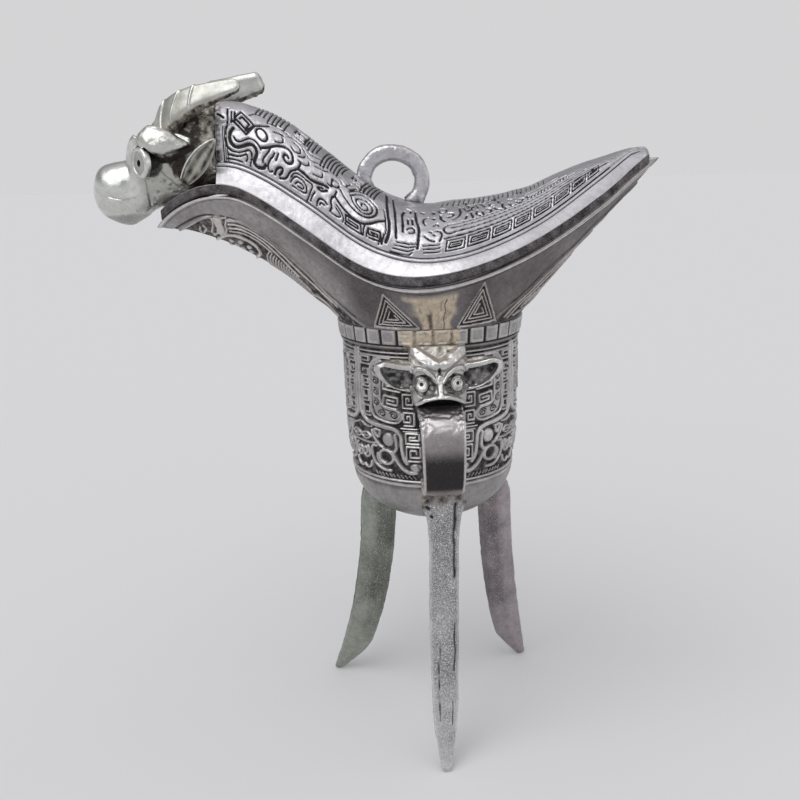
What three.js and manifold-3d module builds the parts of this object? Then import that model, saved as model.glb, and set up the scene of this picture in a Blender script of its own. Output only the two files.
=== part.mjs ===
// A lidded jue: a tripod wine vessel of cast white bronze, with a spout, a pointed tail, a strap handle
// under a beast mask, and a lift-off lid whose neck ends in an ox head.
//
// Millimetres, +Z up. While the pieces are made, the belly's axis is x = y = 0, the feet stand on z = 0,
// the spout points to -X, the tail to +X and the handle to -Y. The last lines move the finished group so
// that its origin is the middle of its footprint.
import * as THREE from "three";
import { mergeVertices } from "three/addons/utils/BufferGeometryUtils.js";
import Module from "manifold-3d";

const wasm = await Module();
wasm.setup();

// Cup
const BELLY_RADIUS = 18.6;
const BELLY_HEIGHT = 39.1;
const ROUND_BOTTOM_HEIGHT = 12.6;
const BOTTOM_SINK = 5.8;
const BAND_HEIGHT = 4.4;
const BAND_PROUD = 1.0;
const CUP_WALL = 1.8;

// Mouth
const MOUTH_HALF_WIDTH = 22;
const RIM_RISE = 7.8;
const SPOUT_REACH = 55.2;
const SPOUT_HALF_WIDTH = 10.2;
const SPOUT_TIP_LIFT = 11.8;
const SPOUT_ARCH_LIFT = 17.6;
const TAIL_REACH = 48;
const TAIL_LIFT = 22.4;
const RIM_WALL = 1.6;

// Legs. They were set by hand, so their angles, roots and leans are not quite even.
const LEG_LENGTH = 54;
const LEG_WIDTH = 6.3;
const LEG_DEPTH = 8;
const LEG_FLARE = 0.5;
const LEG_TUCK = 4;
const FOOT_RADIUS = 27.4;
const FOOT_SIZE = 1.9;
const HANDLE_LEG = { angle: -91.5, root: 18, lean: 1.2 };
const TAIL_LEG = { angle: 32, root: 21.6, lean: 0 };
const SPOUT_LEG = { angle: 152.5, root: 17.4, lean: 0.4 };

// Handle
const HANDLE_X = -0.3;
const STRAP_WIDTH = 8.8;
const STRAP_TAPER = 0.78;
const STRAP_THICKNESS = 1.9;
const STRAP_STAND_OFF = 11.6;
const STRAP_TOP_DROP = 15.4;
const STRAP_HEIGHT = 15.4;
const MASK_WIDTH = 10.8;
const MASK_TOP_DROP = 3.2;
const MASK_HEIGHT = 11.3;
const MASK_DEPTH = 6.8;
const MASK_EAR_LENGTH = 8.2;
const MASK_EAR_HEIGHT = 6;
const MASK_EYE_RADIUS = 1.3;
const MASK_BROW_THICKNESS = 1.7;

// Lid
const LID_EDGE_THICKNESS = 1.9;
const LID_INSET = 1.2;
const LID_BAND_WIDTH = 2.8;
const LID_SHELL = 1.7;
const LID_SADDLE_RISE = 12.6;
const NECK_RISE = 15.6;
const NECK_END = SPOUT_REACH * 0.743;
const LIP_DEPTH = 2.4;
const LIP_THICKNESS = 1.2;
const LIP_CLEARANCE = 0.4;
const RING_RADIUS = 7.5;
const RING_THICKNESS = 3.2;
const RING_WIDTH = 3.2;
const RING_X = -6.9;
const RING_LIFT = 2.6;

// Ox head
const HEAD_LENGTH = 24.8;
const HEAD_HALF_WIDTH = 7.9;
const HEAD_HEIGHT = 14.4;
const NECK_MIDDLE = 7.2;
const HORN_LENGTH = 16.3;
const HORN_SPREAD = 9;
const HORN_RISE = 8.1;
const HORN_DEPTH = 6.6;
const HORN_THICKNESS = 3.8;
const FAR_HORN_LIFT = HORN_RISE * 0.3;
const EAR_LENGTH = 10.5;
const EAR_WIDTH = 3.8;
const EAR_THICKNESS = 1.6;
const EYE_RADIUS = 2.9;
const EYE_DEPTH = 1.2;
const PUPIL_RADIUS = 0.55;

// What lies against another piece keeps this much room.
const SEAT_GAP = 0.3;

const RING_SIDES = 64;
const HALF_TURN = Math.PI;

// Heights that follow from the sizes above.
const BAND_TOP_Z = LEG_LENGTH + BELLY_HEIGHT;
const BAND_BOTTOM_Z = BAND_TOP_Z - BAND_HEIGHT;
const BOTTOM_Z = LEG_LENGTH - BOTTOM_SINK;
const SHOULDER_RADIUS = BELLY_RADIUS + BAND_PROUD;
const RIM_Z = BAND_TOP_Z + RIM_RISE;
const STRAP_TOP_Z = BAND_TOP_Z - STRAP_TOP_DROP;
const STRAP_OUT_Y = -(BELLY_RADIUS + STRAP_STAND_OFF);

const metal = (name, color, roughness) =>
  new THREE.MeshStandardMaterial({ name, color, roughness, metalness: 1 });
const BRIGHT = metal("bright_white_bronze", 0xd6d4d8, 0.25);
const AGED = metal("aged_white_bronze", 0x9a9792, 0.42);
const LEG_METAL = metal("matt_cast_bronze", 0xa6a5a8, 0.5);

// A smooth curve through stations [x, value], as a function of x. It is flat beyond its ends.
function through(stations) {
  const slope = (i) => {
    const before = stations[Math.max(i - 1, 0)];
    const after = stations[Math.min(i + 1, stations.length - 1)];
    return (after[1] - before[1]) / (after[0] - before[0]);
  };
  return (x) => {
    if (x <= stations[0][0]) return stations[0][1];
    const last = stations.length - 1;
    if (x >= stations[last][0]) return stations[last][1];
    let i = 0;
    while (x > stations[i + 1][0]) i++;
    const [[x0, y0], [x1, y1]] = [stations[i], stations[i + 1]];
    const span = x1 - x0;
    const t = (x - x0) / span;
    const up = t * t * (3 - 2 * t);
    const leave = t * (1 - t) * (1 - t) * span * slope(i);
    const arrive = t * t * (t - 1) * span * slope(i + 1);
    return y0 + (y1 - y0) * up + leave + arrive;
  };
}

const vec = (x, y, z) => new THREE.Vector3(x, y, z);
const mix = THREE.MathUtils.lerp;
const range = (count) => Array.from({ length: count }, (_, i) => i);

// A closed solid through rings of points, each ring with as many points as the first, closed at both
// ends by a fan to the ring's middle.
function loft(rings) {
  const sides = rings[0].length;
  const points = rings.flat().flatMap((p) => [p.x, p.y, p.z]);
  const faces = [];
  for (let r = 0; r + 1 < rings.length; r++)
    for (let i = 0; i < sides; i++) {
      const a = r * sides + i;
      const b = r * sides + ((i + 1) % sides);
      faces.push(a, b, b + sides, a, b + sides, a + sides);
    }
  for (const [ring, start, turn] of [
    [rings[0], 0, 1],
    [rings[rings.length - 1], (rings.length - 1) * sides, 0],
  ]) {
    const middle = ring.reduce((sum, p) => sum.add(p), vec(0, 0, 0)).divideScalar(sides);
    const hub = points.length / 3;
    points.push(middle.x, middle.y, middle.z);
    for (let i = 0; i < sides; i++) {
      const a = start + i;
      const b = start + ((i + 1) % sides);
      faces.push(...(turn ? [b, a, hub] : [a, b, hub]));
    }
  }
  const made = new THREE.BufferGeometry();
  made.setAttribute("position", new THREE.Float32BufferAttribute(points, 3));
  made.setIndex(faces);
  return solidOf(made);
}

// A manifold-3d solid from a closed three.js geometry, turned right side out.
function solidOf(geometry) {
  const bare = geometry.clone();
  for (const name of Object.keys(bare.attributes)) if (name !== "position") bare.deleteAttribute(name);
  const merged = mergeVertices(bare, 1e-4);
  const whole = merged.index.array;
  const place = merged.getAttribute("position").array;
  const used = [];
  for (let i = 0; i < whole.length; i += 3)
    if (whole[i] !== whole[i + 1] && whole[i + 1] !== whole[i + 2] && whole[i] !== whole[i + 2])
      used.push(whole[i], whole[i + 1], whole[i + 2]);
  const build = (faces) =>
    new wasm.Manifold(
      new wasm.Mesh({ numProp: 3, vertProperties: place, triVerts: new Uint32Array(faces) }),
    );
  const made = build(used);
  if (made.volume() > 0) return made;
  const turned = [];
  for (let i = 0; i < used.length; i += 3) turned.push(used[i], used[i + 2], used[i + 1]);
  return build(turned);
}

// A named mesh from a solid.
function piece(name, solid, material) {
  const data = solid.getMesh();
  const geometry = new THREE.BufferGeometry();
  geometry.setAttribute("position", new THREE.BufferAttribute(new Float32Array(data.vertProperties), 3));
  geometry.setIndex(new THREE.BufferAttribute(data.triVerts, 1));
  geometry.computeVertexNormals();
  const mesh = new THREE.Mesh(geometry, material);
  mesh.name = name;
  return mesh;
}

const ellipsoid = (radii, at, detail = 20) =>
  solidOf(new THREE.SphereGeometry(1, detail, Math.round(detail / 2)).scale(...radii).translate(...at));

// A solid swept through stations {at, side, up, half: [sideways, upwards]} with rounded sections. A
// station's bow sinks the middle of its section.
function sweep(stations, sides, squareness = 2) {
  const bulge = (value) => Math.sign(value) * Math.abs(value) ** (2 / squareness);
  return loft(
    stations.map(({ at, side, up, half, bow = 0 }) =>
      range(sides).map((i) => {
        const turn = (2 * HALF_TURN * i) / sides;
        return at
          .clone()
          .addScaledVector(side, half[0] * bulge(Math.cos(turn)))
          .addScaledVector(up, half[1] * bulge(Math.sin(turn)) - bow * Math.sin(turn) ** 2);
      }),
    ),
  );
}

// The mouth's plan and rim height along the vessel, from the spout's tip to the tail's.
const mouthHalfWidth = through([
  [-SPOUT_REACH, 0],
  [-SPOUT_REACH * 0.965, SPOUT_HALF_WIDTH * 0.45],
  [-SPOUT_REACH * 0.9, SPOUT_HALF_WIDTH * 0.82],
  [-SPOUT_REACH * 0.81, SPOUT_HALF_WIDTH * 0.94],
  [-SPOUT_REACH * 0.67, SPOUT_HALF_WIDTH * 1.12],
  [-SPOUT_REACH * 0.36, MOUTH_HALF_WIDTH * 0.77],
  [-SPOUT_REACH * 0.13, MOUTH_HALF_WIDTH * 0.955],
  [0, MOUTH_HALF_WIDTH],
  [TAIL_REACH * 0.14, MOUTH_HALF_WIDTH * 0.98],
  [TAIL_REACH * 0.4, MOUTH_HALF_WIDTH * 0.81],
  [TAIL_REACH * 0.7, MOUTH_HALF_WIDTH * 0.5],
  [TAIL_REACH * 0.87, MOUTH_HALF_WIDTH * 0.265],
  [TAIL_REACH * 0.96, MOUTH_HALF_WIDTH * 0.11],
  [TAIL_REACH, 0],
]);

const rimHeight = through([
  [-SPOUT_REACH, RIM_Z + SPOUT_TIP_LIFT],
  [-SPOUT_REACH * 0.9, RIM_Z + mix(SPOUT_TIP_LIFT, SPOUT_ARCH_LIFT, 0.6)],
  [-SPOUT_REACH * 0.815, RIM_Z + mix(SPOUT_TIP_LIFT, SPOUT_ARCH_LIFT, 0.93)],
  [-SPOUT_REACH * 0.735, RIM_Z + SPOUT_ARCH_LIFT],
  [-SPOUT_REACH * 0.665, RIM_Z + SPOUT_ARCH_LIFT * 0.955],
  [-SPOUT_REACH * 0.57, RIM_Z + SPOUT_ARCH_LIFT * 0.795],
  [-SPOUT_REACH * 0.455, RIM_Z + SPOUT_ARCH_LIFT * 0.545],
  [-SPOUT_REACH * 0.26, RIM_Z + SPOUT_ARCH_LIFT * 0.13],
  [-SPOUT_REACH * 0.1, RIM_Z],
  [TAIL_REACH * 0.12, RIM_Z + TAIL_LIFT * 0.055],
  [TAIL_REACH * 0.4, RIM_Z + TAIL_LIFT * 0.26],
  [TAIL_REACH * 0.71, RIM_Z + TAIL_LIFT * 0.615],
  [TAIL_REACH * 0.89, RIM_Z + TAIL_LIFT * 0.87],
  [TAIL_REACH, RIM_Z + TAIL_LIFT],
]);

// Points of the near half of the rim at even distances along it, from the spout's tip to the widest
// place and on to the tail's tip. The inset draws the plan in towards the middle line.
function rimPoints(inset, perHalf) {
  const shrink = (reach) => (reach - inset * 1.6) / reach;
  const at = (x) => {
    const share = x < 0 ? x * shrink(SPOUT_REACH) : x * shrink(TAIL_REACH);
    const wide = mouthHalfWidth(x) * (1 - inset / MOUTH_HALF_WIDTH);
    const flank = Math.max(0, Math.min(wide, mouthHalfWidth(x) - inset * 0.9));
    return vec(share, -flank, rimHeight(x));
  };
  const half = (from, to) => {
    const fine = range(401).map((i) => at(mix(from, to, i / 400)));
    const run = [0];
    for (let i = 1; i < fine.length; i++) run.push(run[i - 1] + fine[i].distanceTo(fine[i - 1]));
    return range(perHalf + 1).map((k) => {
      const want = (run[400] * k) / perHalf;
      const i = Math.max(1, run.findIndex((r) => r >= want - 1e-9));
      const share = (want - run[i - 1]) / Math.max(run[i] - run[i - 1], 1e-9);
      return fine[i - 1].clone().lerp(fine[i], share);
    });
  };
  return [...half(-SPOUT_REACH, 0), ...half(0, TAIL_REACH).slice(1)];
}

// The whole closed rim as one ring of RING_SIDES points, which starts at the spout's tip.
function rimRing(inset, rise = 0) {
  const near = rimPoints(inset, RING_SIDES / 4);
  const far = near.slice(1, -1).reverse().map((p) => vec(p.x, -p.y, p.z));
  return [...near, ...far].map((p) => vec(p.x, p.y, p.z + rise));
}

const circleRing = (radius, z) =>
  range(RING_SIDES).map((i) => {
    const turn = HALF_TURN + (2 * HALF_TURN * i) / RING_SIDES;
    return vec(radius * Math.cos(turn), radius * Math.sin(turn), z);
  });

// The flaring mouth between a circle on the cup and a rim: each point of the circle goes to its point
// of the rim on a bent line. The spout's middle line bows upwards, and the sides rise before they flare.
const SPOUT_BOW = 8.2;
function mouthRings(circle, rim, steps) {
  return range(steps + 1)
    .slice(1)
    .map((k) => {
      const t = k / steps;
      return circle.map((from, i) => {
        const to = rim[i];
        const facing = from.x / Math.hypot(from.x, from.y);
        const toSpout = Math.max(0, -facing) ** 3;
        const toSide = 1 - Math.abs(facing);
        const bend = from.clone().lerp(to, 0.5);
        bend.z += SPOUT_BOW * toSpout;
        bend.x = mix(bend.x, from.x, toSide * 0.6);
        bend.y = mix(bend.y, from.y, toSide * 0.6);
        return from
          .clone()
          .multiplyScalar((1 - t) * (1 - t))
          .addScaledVector(bend, 2 * t * (1 - t))
          .addScaledVector(to, t * t);
      });
    });
}

// Rings of the cup from the bottom's middle to the top of the band, drawn in by an inset.
function cupRings(inset) {
  const floor = BOTTOM_Z + inset;
  const radius = BELLY_RADIUS - inset;
  const turnZ = BOTTOM_Z + ROUND_BOTTOM_HEIGHT;
  const round = [0.06, 0.3, 0.55, 0.78, 0.94].map((share) => {
    const swing = (share * HALF_TURN) / 2;
    const z = turnZ - (turnZ - floor) * Math.cos(swing);
    return circleRing(radius * 0.94 * Math.sin(swing), z);
  });
  const wall = [
    [0.945, 0.05],
    [0.985, 0.3],
    [1, 0.62],
    [1, 0.98],
  ].map(([share, up]) => circleRing(radius * share, mix(turnZ, BAND_BOTTOM_Z, up)));
  const band = [
    circleRing(radius + BAND_PROUD * 0.35, BAND_BOTTOM_Z + BAND_HEIGHT * 0.12),
    circleRing(SHOULDER_RADIUS - inset, BAND_TOP_Z),
  ];
  return [...round, ...wall, ...band];
}

function vesselSkin(inset, rimInset, extraRise) {
  const cup = cupRings(inset);
  const rim = rimRing(rimInset);
  const mouth = mouthRings(cup[cup.length - 1], rim, 7);
  const top = extraRise > 0 ? [rimRing(rimInset, extraRise)] : [];
  return loft([...cup, ...mouth, ...top]);
}

// The ring at the top is closed by a fan, which would cut across the saddle of the rim. This is the
// space above the rim, as long as the mouth, to be taken off the skin.
function aboveRim() {
  const past = RIM_WALL * 2;
  const slices = 40;
  const reach = range(slices + 1).map((i) => mix(-SPOUT_REACH - past, TAIL_REACH + past, i / slices));
  const high = RIM_Z + TAIL_LIFT * 2;
  const wide = MOUTH_HALF_WIDTH * 1.4;
  return loft(
    reach.map((x) => [
      vec(x, -wide, rimHeight(x)),
      vec(x, wide, rimHeight(x)),
      vec(x, wide, high),
      vec(x, -wide, high),
    ]),
  );
}

// Cup and mouth are one casting, open at the top.
const OVER_RIM = 4;
const above = aboveRim();
const outerSkin = vesselSkin(0, 0, OVER_RIM).subtract(above);
const innerSkin = vesselSkin(CUP_WALL, RIM_WALL, OVER_RIM * 2);
const vesselBody = outerSkin.subtract(innerSkin);

// The cup grown by the seat gap, which cuts what is brazed against it.
const cupKeepOut = loft([
  ...cupRings(-SEAT_GAP),
  circleRing(SHOULDER_RADIUS + SEAT_GAP, BAND_TOP_Z + RIM_RISE),
]);

// A leg is a blade that swings outwards as it goes down: its flat outer face has a bevel down each
// side. It flares and leans in where it meets the cup, keeps its size for most of its length, and then
// closes to a small foot.
const legWidthShare = through([
  [0.5, 1],
  [0.77, 0.82],
  [0.855, 0.62],
  [0.92, 0.36],
  [0.97, 0.14],
  [1, 0],
]);
const legDepthShare = through([
  [0, 1],
  [0.8, 0.84],
  [0.87, 0.68],
  [1, 0],
]);
function leg({ angle, root, lean }) {
  const top = LEG_LENGTH + ROUND_BOTTOM_HEIGHT * 0.55;
  const stops = [1, 0.9, 0.82, 0.7, 0.55, 0.42, 0.32, 0.25, 0.18, 0.13, 0.09, 0.055, 0.025, 0];
  const rings = stops.map((up) => {
    const z = top * up;
    const down = Math.max(0, 1 - z / LEG_LENGTH);
    const join = THREE.MathUtils.smoothstep(z, LEG_LENGTH * 0.87, top);
    const flare = 1 + LEG_FLARE * join;
    const half = (mix(FOOT_SIZE, LEG_WIDTH, legWidthShare(down)) * flare) / 2;
    const depth = mix(FOOT_SIZE, LEG_DEPTH, legDepthShare(down));
    const outer = mix(root, FOOT_RADIUS + FOOT_SIZE / 2, down ** 2.2) - LEG_TUCK * join;
    const bevel = half * 0.34;
    return [
      vec(outer, -half + bevel, z),
      vec(outer, half - bevel, z),
      vec(outer - bevel * 1.1, half, z),
      vec(outer - depth * 0.55, half * 0.86, z),
      vec(outer - depth, half * 0.36, z),
      vec(outer - depth, -half * 0.36, z),
      vec(outer - depth * 0.55, -half * 0.86, z),
      vec(outer - bevel * 1.1, -half, z),
    ].map((p) => p.add(vec(0, lean * (1 - down), 0)));
  });
  return loft(rings).rotate([0, 0, angle]).subtract(cupKeepOut).subtract(strapBand(SEAT_GAP));
}

// The strap leaves the belly under the mask, stands off it for a finger, and comes back to the belly
// just over the leg.
function strapBand(extra) {
  const out = (share) => mix(-BELLY_RADIUS, STRAP_OUT_Y, share);
  const down = (share) => STRAP_TOP_Z - STRAP_HEIGHT * share;
  const path = new THREE.CatmullRomCurve3(
    [
      vec(0, 1 - BELLY_RADIUS, down(-0.01)),
      vec(0, out(0.5), down(0)),
      vec(0, out(0.83), down(0.13)),
      vec(0, out(1) + STRAP_THICKNESS / 2, down(0.47)),
      vec(0, out(0.86), down(0.82)),
      vec(0, out(0.5), down(1)),
      vec(0, 3.4 - BELLY_RADIUS, down(1.03)),
    ],
    false,
    "centripetal",
  );
  const steps = 18;
  const stations = range(steps + 1).map((k) => {
    const along = path.getTangentAt(k / steps);
    return {
      at: path.getPointAt(k / steps),
      side: vec(1, 0, 0),
      up: vec(0, -along.z, along.y),
      half: [
        (STRAP_WIDTH / 2) * mix(1, STRAP_TAPER, k / steps) + extra,
        STRAP_THICKNESS / 2 + extra,
      ],
    };
  });
  return sweep(stations, 12, 4).translate([HANDLE_X, 0, 0]);
}

// The beast mask that bites the strap: brow, eyes, upper lip and two leaf ears, as one casting.
const MASK_TOP_Z = BAND_TOP_Z - MASK_TOP_DROP;
function handleMask() {
  const half = MASK_WIDTH / 2;
  const low = MASK_TOP_Z - MASK_HEIGHT;
  const faceY = -(BELLY_RADIUS + MASK_DEPTH);
  const back = 3 - BELLY_RADIUS;
  const sections = [
    { up: 0, wide: 0.88, deep: 0.86 },
    { up: 0.08, wide: 0.96, deep: 0.96 },
    { up: 0.22, wide: 0.98, deep: 1 },
    { up: 0.34, wide: 0.94, deep: 0.78 },
    { up: 0.55, wide: 0.98, deep: 0.62 },
    { up: 0.74, wide: 1.06, deep: 0.6 },
    { up: 0.86, wide: 1.08, deep: 0.42 },
    { up: 1, wide: 1.0, deep: 0.3 },
  ];
  const face = sections.map(({ up, wide, deep }) => {
    const front = mix(-BELLY_RADIUS, faceY, deep);
    return {
      at: vec(0, (front + back) / 2, low + MASK_HEIGHT * up),
      side: vec(1, 0, 0),
      up: vec(0, -1, 0),
      half: [half * wide, (back - front) / 2],
    };
  });
  let made = sweep(face, 20, 3);
  const eye = MASK_EYE_RADIUS;
  const earLong = MASK_EAR_LENGTH / 2;
  const earTall = MASK_EAR_HEIGHT / 2;
  for (const side of [-1, 1]) {
    const eyeX = side * half * 0.64;
    const eyeZ = low + MASK_HEIGHT * 0.42;
    const eyeY = mix(-BELLY_RADIUS, faceY, 0.62);
    const ball = ellipsoid([eye, eye, eye], [eyeX, eyeY, eyeZ], 12);
    const socket = ellipsoid([eye * 1.7, eye, eye * 1.45], [eyeX, eyeY - eye * 0.35, eyeZ], 14);
    const brow = ellipsoid([half * 0.62, MASK_BROW_THICKNESS * 0.7, MASK_BROW_THICKNESS / 2], [0, 0, 0], 12)
      .rotate([0, -side * 28, 0])
      .translate([side * half * 0.5, eyeY - eye * 0.2, low + MASK_HEIGHT * 0.75]);
    const hollow = ellipsoid([earLong * 0.72, earLong * 0.36, earTall * 0.66], [0, -earLong * 0.37, 0], 14);
    const ear = ellipsoid([earLong, earLong * 0.42, earTall], [0, 0, 0], 16)
      .subtract(hollow)
      .rotate([0, -side * 8, side * 16])
      .translate([side * (half + earLong * 0.66), -BELLY_RADIUS - earLong * 0.32, low + MASK_HEIGHT * 0.49]);
    made = made.add(ear).subtract(socket).add(ball).add(brow);
  }
  const upperLip = [half * 0.88, MASK_DEPTH * 0.53, MASK_HEIGHT * 0.33];
  const mouth = ellipsoid(upperLip, [0, faceY + MASK_DEPTH * 0.09, low], 16);
  return made
    .subtract(mouth)
    .translate([HANDLE_X, 0, 0])
    .subtract(strapBand(SEAT_GAP))
    .subtract(cupKeepOut);
}

// Lid heights along the vessel: the edge follows the rim, and the crest is the saddle's back.
const lidEdgeHeight = (x) => rimHeight(x) + SEAT_GAP + LID_EDGE_THICKNESS;
const lidHalfWidth = (x) => Math.max(0, mouthHalfWidth(x) - LID_INSET);
const LID_TAIL_END = TAIL_REACH - LID_INSET * 1.7;
const LID_SPOUT_END = SPOUT_REACH - LID_INSET * 1.4;
const crestRise = through([
  [-NECK_END, NECK_RISE],
  [-NECK_END * 0.88, NECK_RISE * 1.05],
  [-NECK_END * 0.66, NECK_RISE * 1.16],
  [-NECK_END * 0.4, NECK_RISE * 1.1],
  [-NECK_END * 0.14, LID_SADDLE_RISE * 1.1],
  [0, LID_SADDLE_RISE * 0.985],
  [TAIL_REACH * 0.12, LID_SADDLE_RISE * 0.94],
  [TAIL_REACH * 0.31, LID_SADDLE_RISE * 0.79],
  [TAIL_REACH * 0.45, LID_SADDLE_RISE * 0.68],
  [TAIL_REACH * 0.58, LID_SADDLE_RISE * 0.625],
  [TAIL_REACH * 0.71, LID_SADDLE_RISE * 0.505],
  [TAIL_REACH * 0.84, LID_SADDLE_RISE * 0.315],
  [TAIL_REACH * 0.94, LID_SADDLE_RISE * 0.13],
  [TAIL_REACH, LID_SADDLE_RISE * 0.05],
]);
const bandRise = through([
  [-NECK_END, 4],
  [-NECK_END * 0.55, 5],
  [-NECK_END * 0.25, 3.9],
  [0, 2.7],
  [TAIL_REACH * 0.42, 2.6],
  [TAIL_REACH * 0.75, 3.3],
  [TAIL_REACH, 2],
]);

// The upper outline of the lid's section at x, from the near edge over the crest to the far edge.
function lidArch(x, steps) {
  const edge = Math.max(0.25, lidHalfWidth(x));
  const border = Math.max(edge * 0.1, edge - LID_BAND_WIDTH);
  const edgeZ = lidEdgeHeight(x);
  const crest = crestRise(x);
  const rise = Math.min(bandRise(x), crest * 0.8);
  const near = [vec(x, -edge, edgeZ), vec(x, -mix(edge, border, 0.45), edgeZ + rise * 0.6)];
  const dome = range(steps + 1).map((k) => {
    const swing = (k / steps) * HALF_TURN;
    const y = -border * Math.sign(Math.cos(swing)) * Math.abs(Math.cos(swing)) ** 1.1;
    return vec(x, y, edgeZ + mix(rise, crest, Math.sin(swing) ** 0.95));
  });
  const far = near.map((p) => vec(p.x, -p.y, p.z)).reverse();
  return [...near, ...dome, ...far];
}

// The plate that carries on under the ox head: flat across, as thick as the lid's edge.
function platePoints(x, count) {
  const edge = Math.max(0.25, lidHalfWidth(x));
  return range(count).map((k) => vec(x, mix(-edge, edge, k / (count - 1)), lidEdgeHeight(x)));
}

const LID_STEPS = 10;
const lidStationsX = [
  ...range(5).map((k) => mix(-LID_SPOUT_END, -NECK_END - 0.4, k / 4)),
  ...range(15).map((k) => mix(-NECK_END, 0, k / 15)),
  ...range(15).map((k) => mix(0, LID_TAIL_END, k / 14)),
];

function lidSolid() {
  const rings = lidStationsX.map((x) => {
    const arch = x < -NECK_END ? platePoints(x, LID_STEPS + 5) : lidArch(x, LID_STEPS);
    const low = lidEdgeHeight(x) - LID_EDGE_THICKNESS;
    const edge = Math.max(0.25, lidHalfWidth(x));
    return [...arch, vec(x, edge, low), vec(x, -edge, low)];
  });
  return loft(rings);
}

// The hollow under the lid, and the lip that centres the lid in the mouth.
function lidHollow(inset, from, to) {
  const stations = range(25).map((k) => mix(from, to, k / 24));
  return loft(
    stations.map((x) => {
      const edge = Math.max(0.3, lidHalfWidth(x) - inset);
      const arch = lidArch(x, LID_STEPS).slice(2, -2);
      const border = Math.max(0.3, Math.abs(arch[0].y));
      const low = lidEdgeHeight(x) - LID_EDGE_THICKNESS - 6;
      const roof = arch.map((p) =>
        vec(x, (p.y / border) * Math.min(edge, border), Math.max(low + 6.2, p.z - LID_SHELL)),
      );
      return [...roof, vec(x, edge, low), vec(x, -edge, low)];
    }),
  );
}

// The lip hangs a little way into the mouth and follows its wall, so that the lid cannot slide off.
function lidLip(from, to) {
  const block = loft(
    range(25).map((k) => {
      const x = mix(from, to, k / 24);
      const half = lidHalfWidth(x) + 1;
      const under = lidEdgeHeight(x) - LID_EDGE_THICKNESS;
      return [
        vec(x, half, under + 1),
        vec(x, half, under - LIP_DEPTH),
        vec(x, -half, under - LIP_DEPTH),
        vec(x, -half, under + 1),
      ];
    }),
  );
  return block.intersect(vesselSkin(CUP_WALL + LIP_CLEARANCE, RIM_WALL + LIP_CLEARANCE, OVER_RIM));
}

function lidCover() {
  const from = LID_SHELL - NECK_END + 0.6;
  const to = TAIL_REACH * 0.8;
  const lip = lidLip(from - LIP_THICKNESS, to + LIP_THICKNESS);
  return lidSolid()
    .add(lip)
    .subtract(lidHollow(RIM_WALL + LIP_CLEARANCE + LIP_THICKNESS, from, to));
}

// The loop on the saddle that a finger or a cord goes through.
function lidRing(lid) {
  const middle = RING_RADIUS - RING_THICKNESS / 2;
  const centre = vec(RING_X, 0, lidEdgeHeight(RING_X) + crestRise(RING_X) + RING_LIFT);
  const steps = 22;
  const stations = range(steps + 1).map((k) => {
    const turn = mix(-0.3, 1.08, k / steps) * HALF_TURN;
    const out = vec(Math.cos(turn), 0, Math.sin(turn));
    return {
      at: centre.clone().addScaledVector(out, middle),
      side: vec(0, 1, 0),
      up: out,
      half: [RING_WIDTH / 2, RING_THICKNESS / 2],
    };
  });
  return sweep(stations, 10, 3).subtract(lid.translate([0, 0, SEAT_GAP])).subtract(lid);
}

// Ox head: sections from the muzzle's tip back to the neck, as shares of the head's sizes.
const HEAD_BACK_X = -NECK_END - 0.4 - SEAT_GAP;
const HEAD_TIP_X = HEAD_BACK_X - HEAD_LENGTH;
const HEAD_BACK_Z = lidEdgeHeight(-NECK_END) + NECK_MIDDLE;
const headPoint = (along, up, out = 0) =>
  vec(HEAD_TIP_X + HEAD_LENGTH * along, HEAD_HALF_WIDTH * out, HEAD_BACK_Z + HEAD_HEIGHT * up);
const HEAD_SECTIONS = [
  { along: 0, middle: -0.58, half: 0.06, wide: 0.12 },
  { along: 0.012, middle: -0.573, half: 0.15, wide: 0.3 },
  { along: 0.06, middle: -0.556, half: 0.31, wide: 0.57 },
  { along: 0.16, middle: -0.565, half: 0.4, wide: 0.76 },
  { along: 0.26, middle: -0.575, half: 0.435, wide: 0.82 },
  { along: 0.34, middle: -0.515, half: 0.435, wide: 0.79 },
  { along: 0.39, middle: -0.385, half: 0.52, wide: 0.8 },
  { along: 0.465, middle: -0.27, half: 0.54, wide: 0.84 },
  { along: 0.585, middle: -0.19, half: 0.558, wide: 0.86 },
  { along: 0.745, middle: -0.118, half: 0.556, wide: 0.9 },
  { along: 0.905, middle: -0.035, half: 0.528, wide: 0.95 },
  { along: 1, middle: 0, half: 0.51, wide: 0.96 },
];
function oxHead(lid) {
  let made = sweep(
    HEAD_SECTIONS.map(({ along, middle, half, wide }) => ({
      at: headPoint(along, middle),
      side: vec(0, 1, 0),
      up: vec(0, 0, 1),
      half: [HEAD_HALF_WIDTH * wide, HEAD_HEIGHT * half],
    })),
    24,
    2.3,
  );
  const lobe = [HEAD_LENGTH * 0.21, HEAD_HALF_WIDTH * 0.33, HEAD_HEIGHT * 0.18];
  for (const side of [-1, 1]) {
    const brow = ellipsoid(lobe, [0, 0, 0], 16).rotate([side * 20, 12, side * 14]);
    made = made.add(brow.translate(headPoint(0.63, 0.05, side * 0.78).toArray()));
  }
  return made.subtract(liftedBy(lid, SEAT_GAP)).subtract(lid);
}

// A solid together with its copies a little above and below it, to cut room for a seat.
const liftedBy = (solid, gap) => solid.translate([0, 0, gap]).add(solid.translate([0, 0, -gap]));

// A solid grown by about the seat gap on every side, for cutting what is brazed to it.
function grown(solid) {
  const steps = [-SEAT_GAP, SEAT_GAP];
  let made = solid;
  for (const step of steps)
    made = made
      .add(solid.translate([step, 0, 0]))
      .add(solid.translate([0, step, 0]))
      .add(solid.translate([0, 0, step]));
  return made;
}

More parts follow.
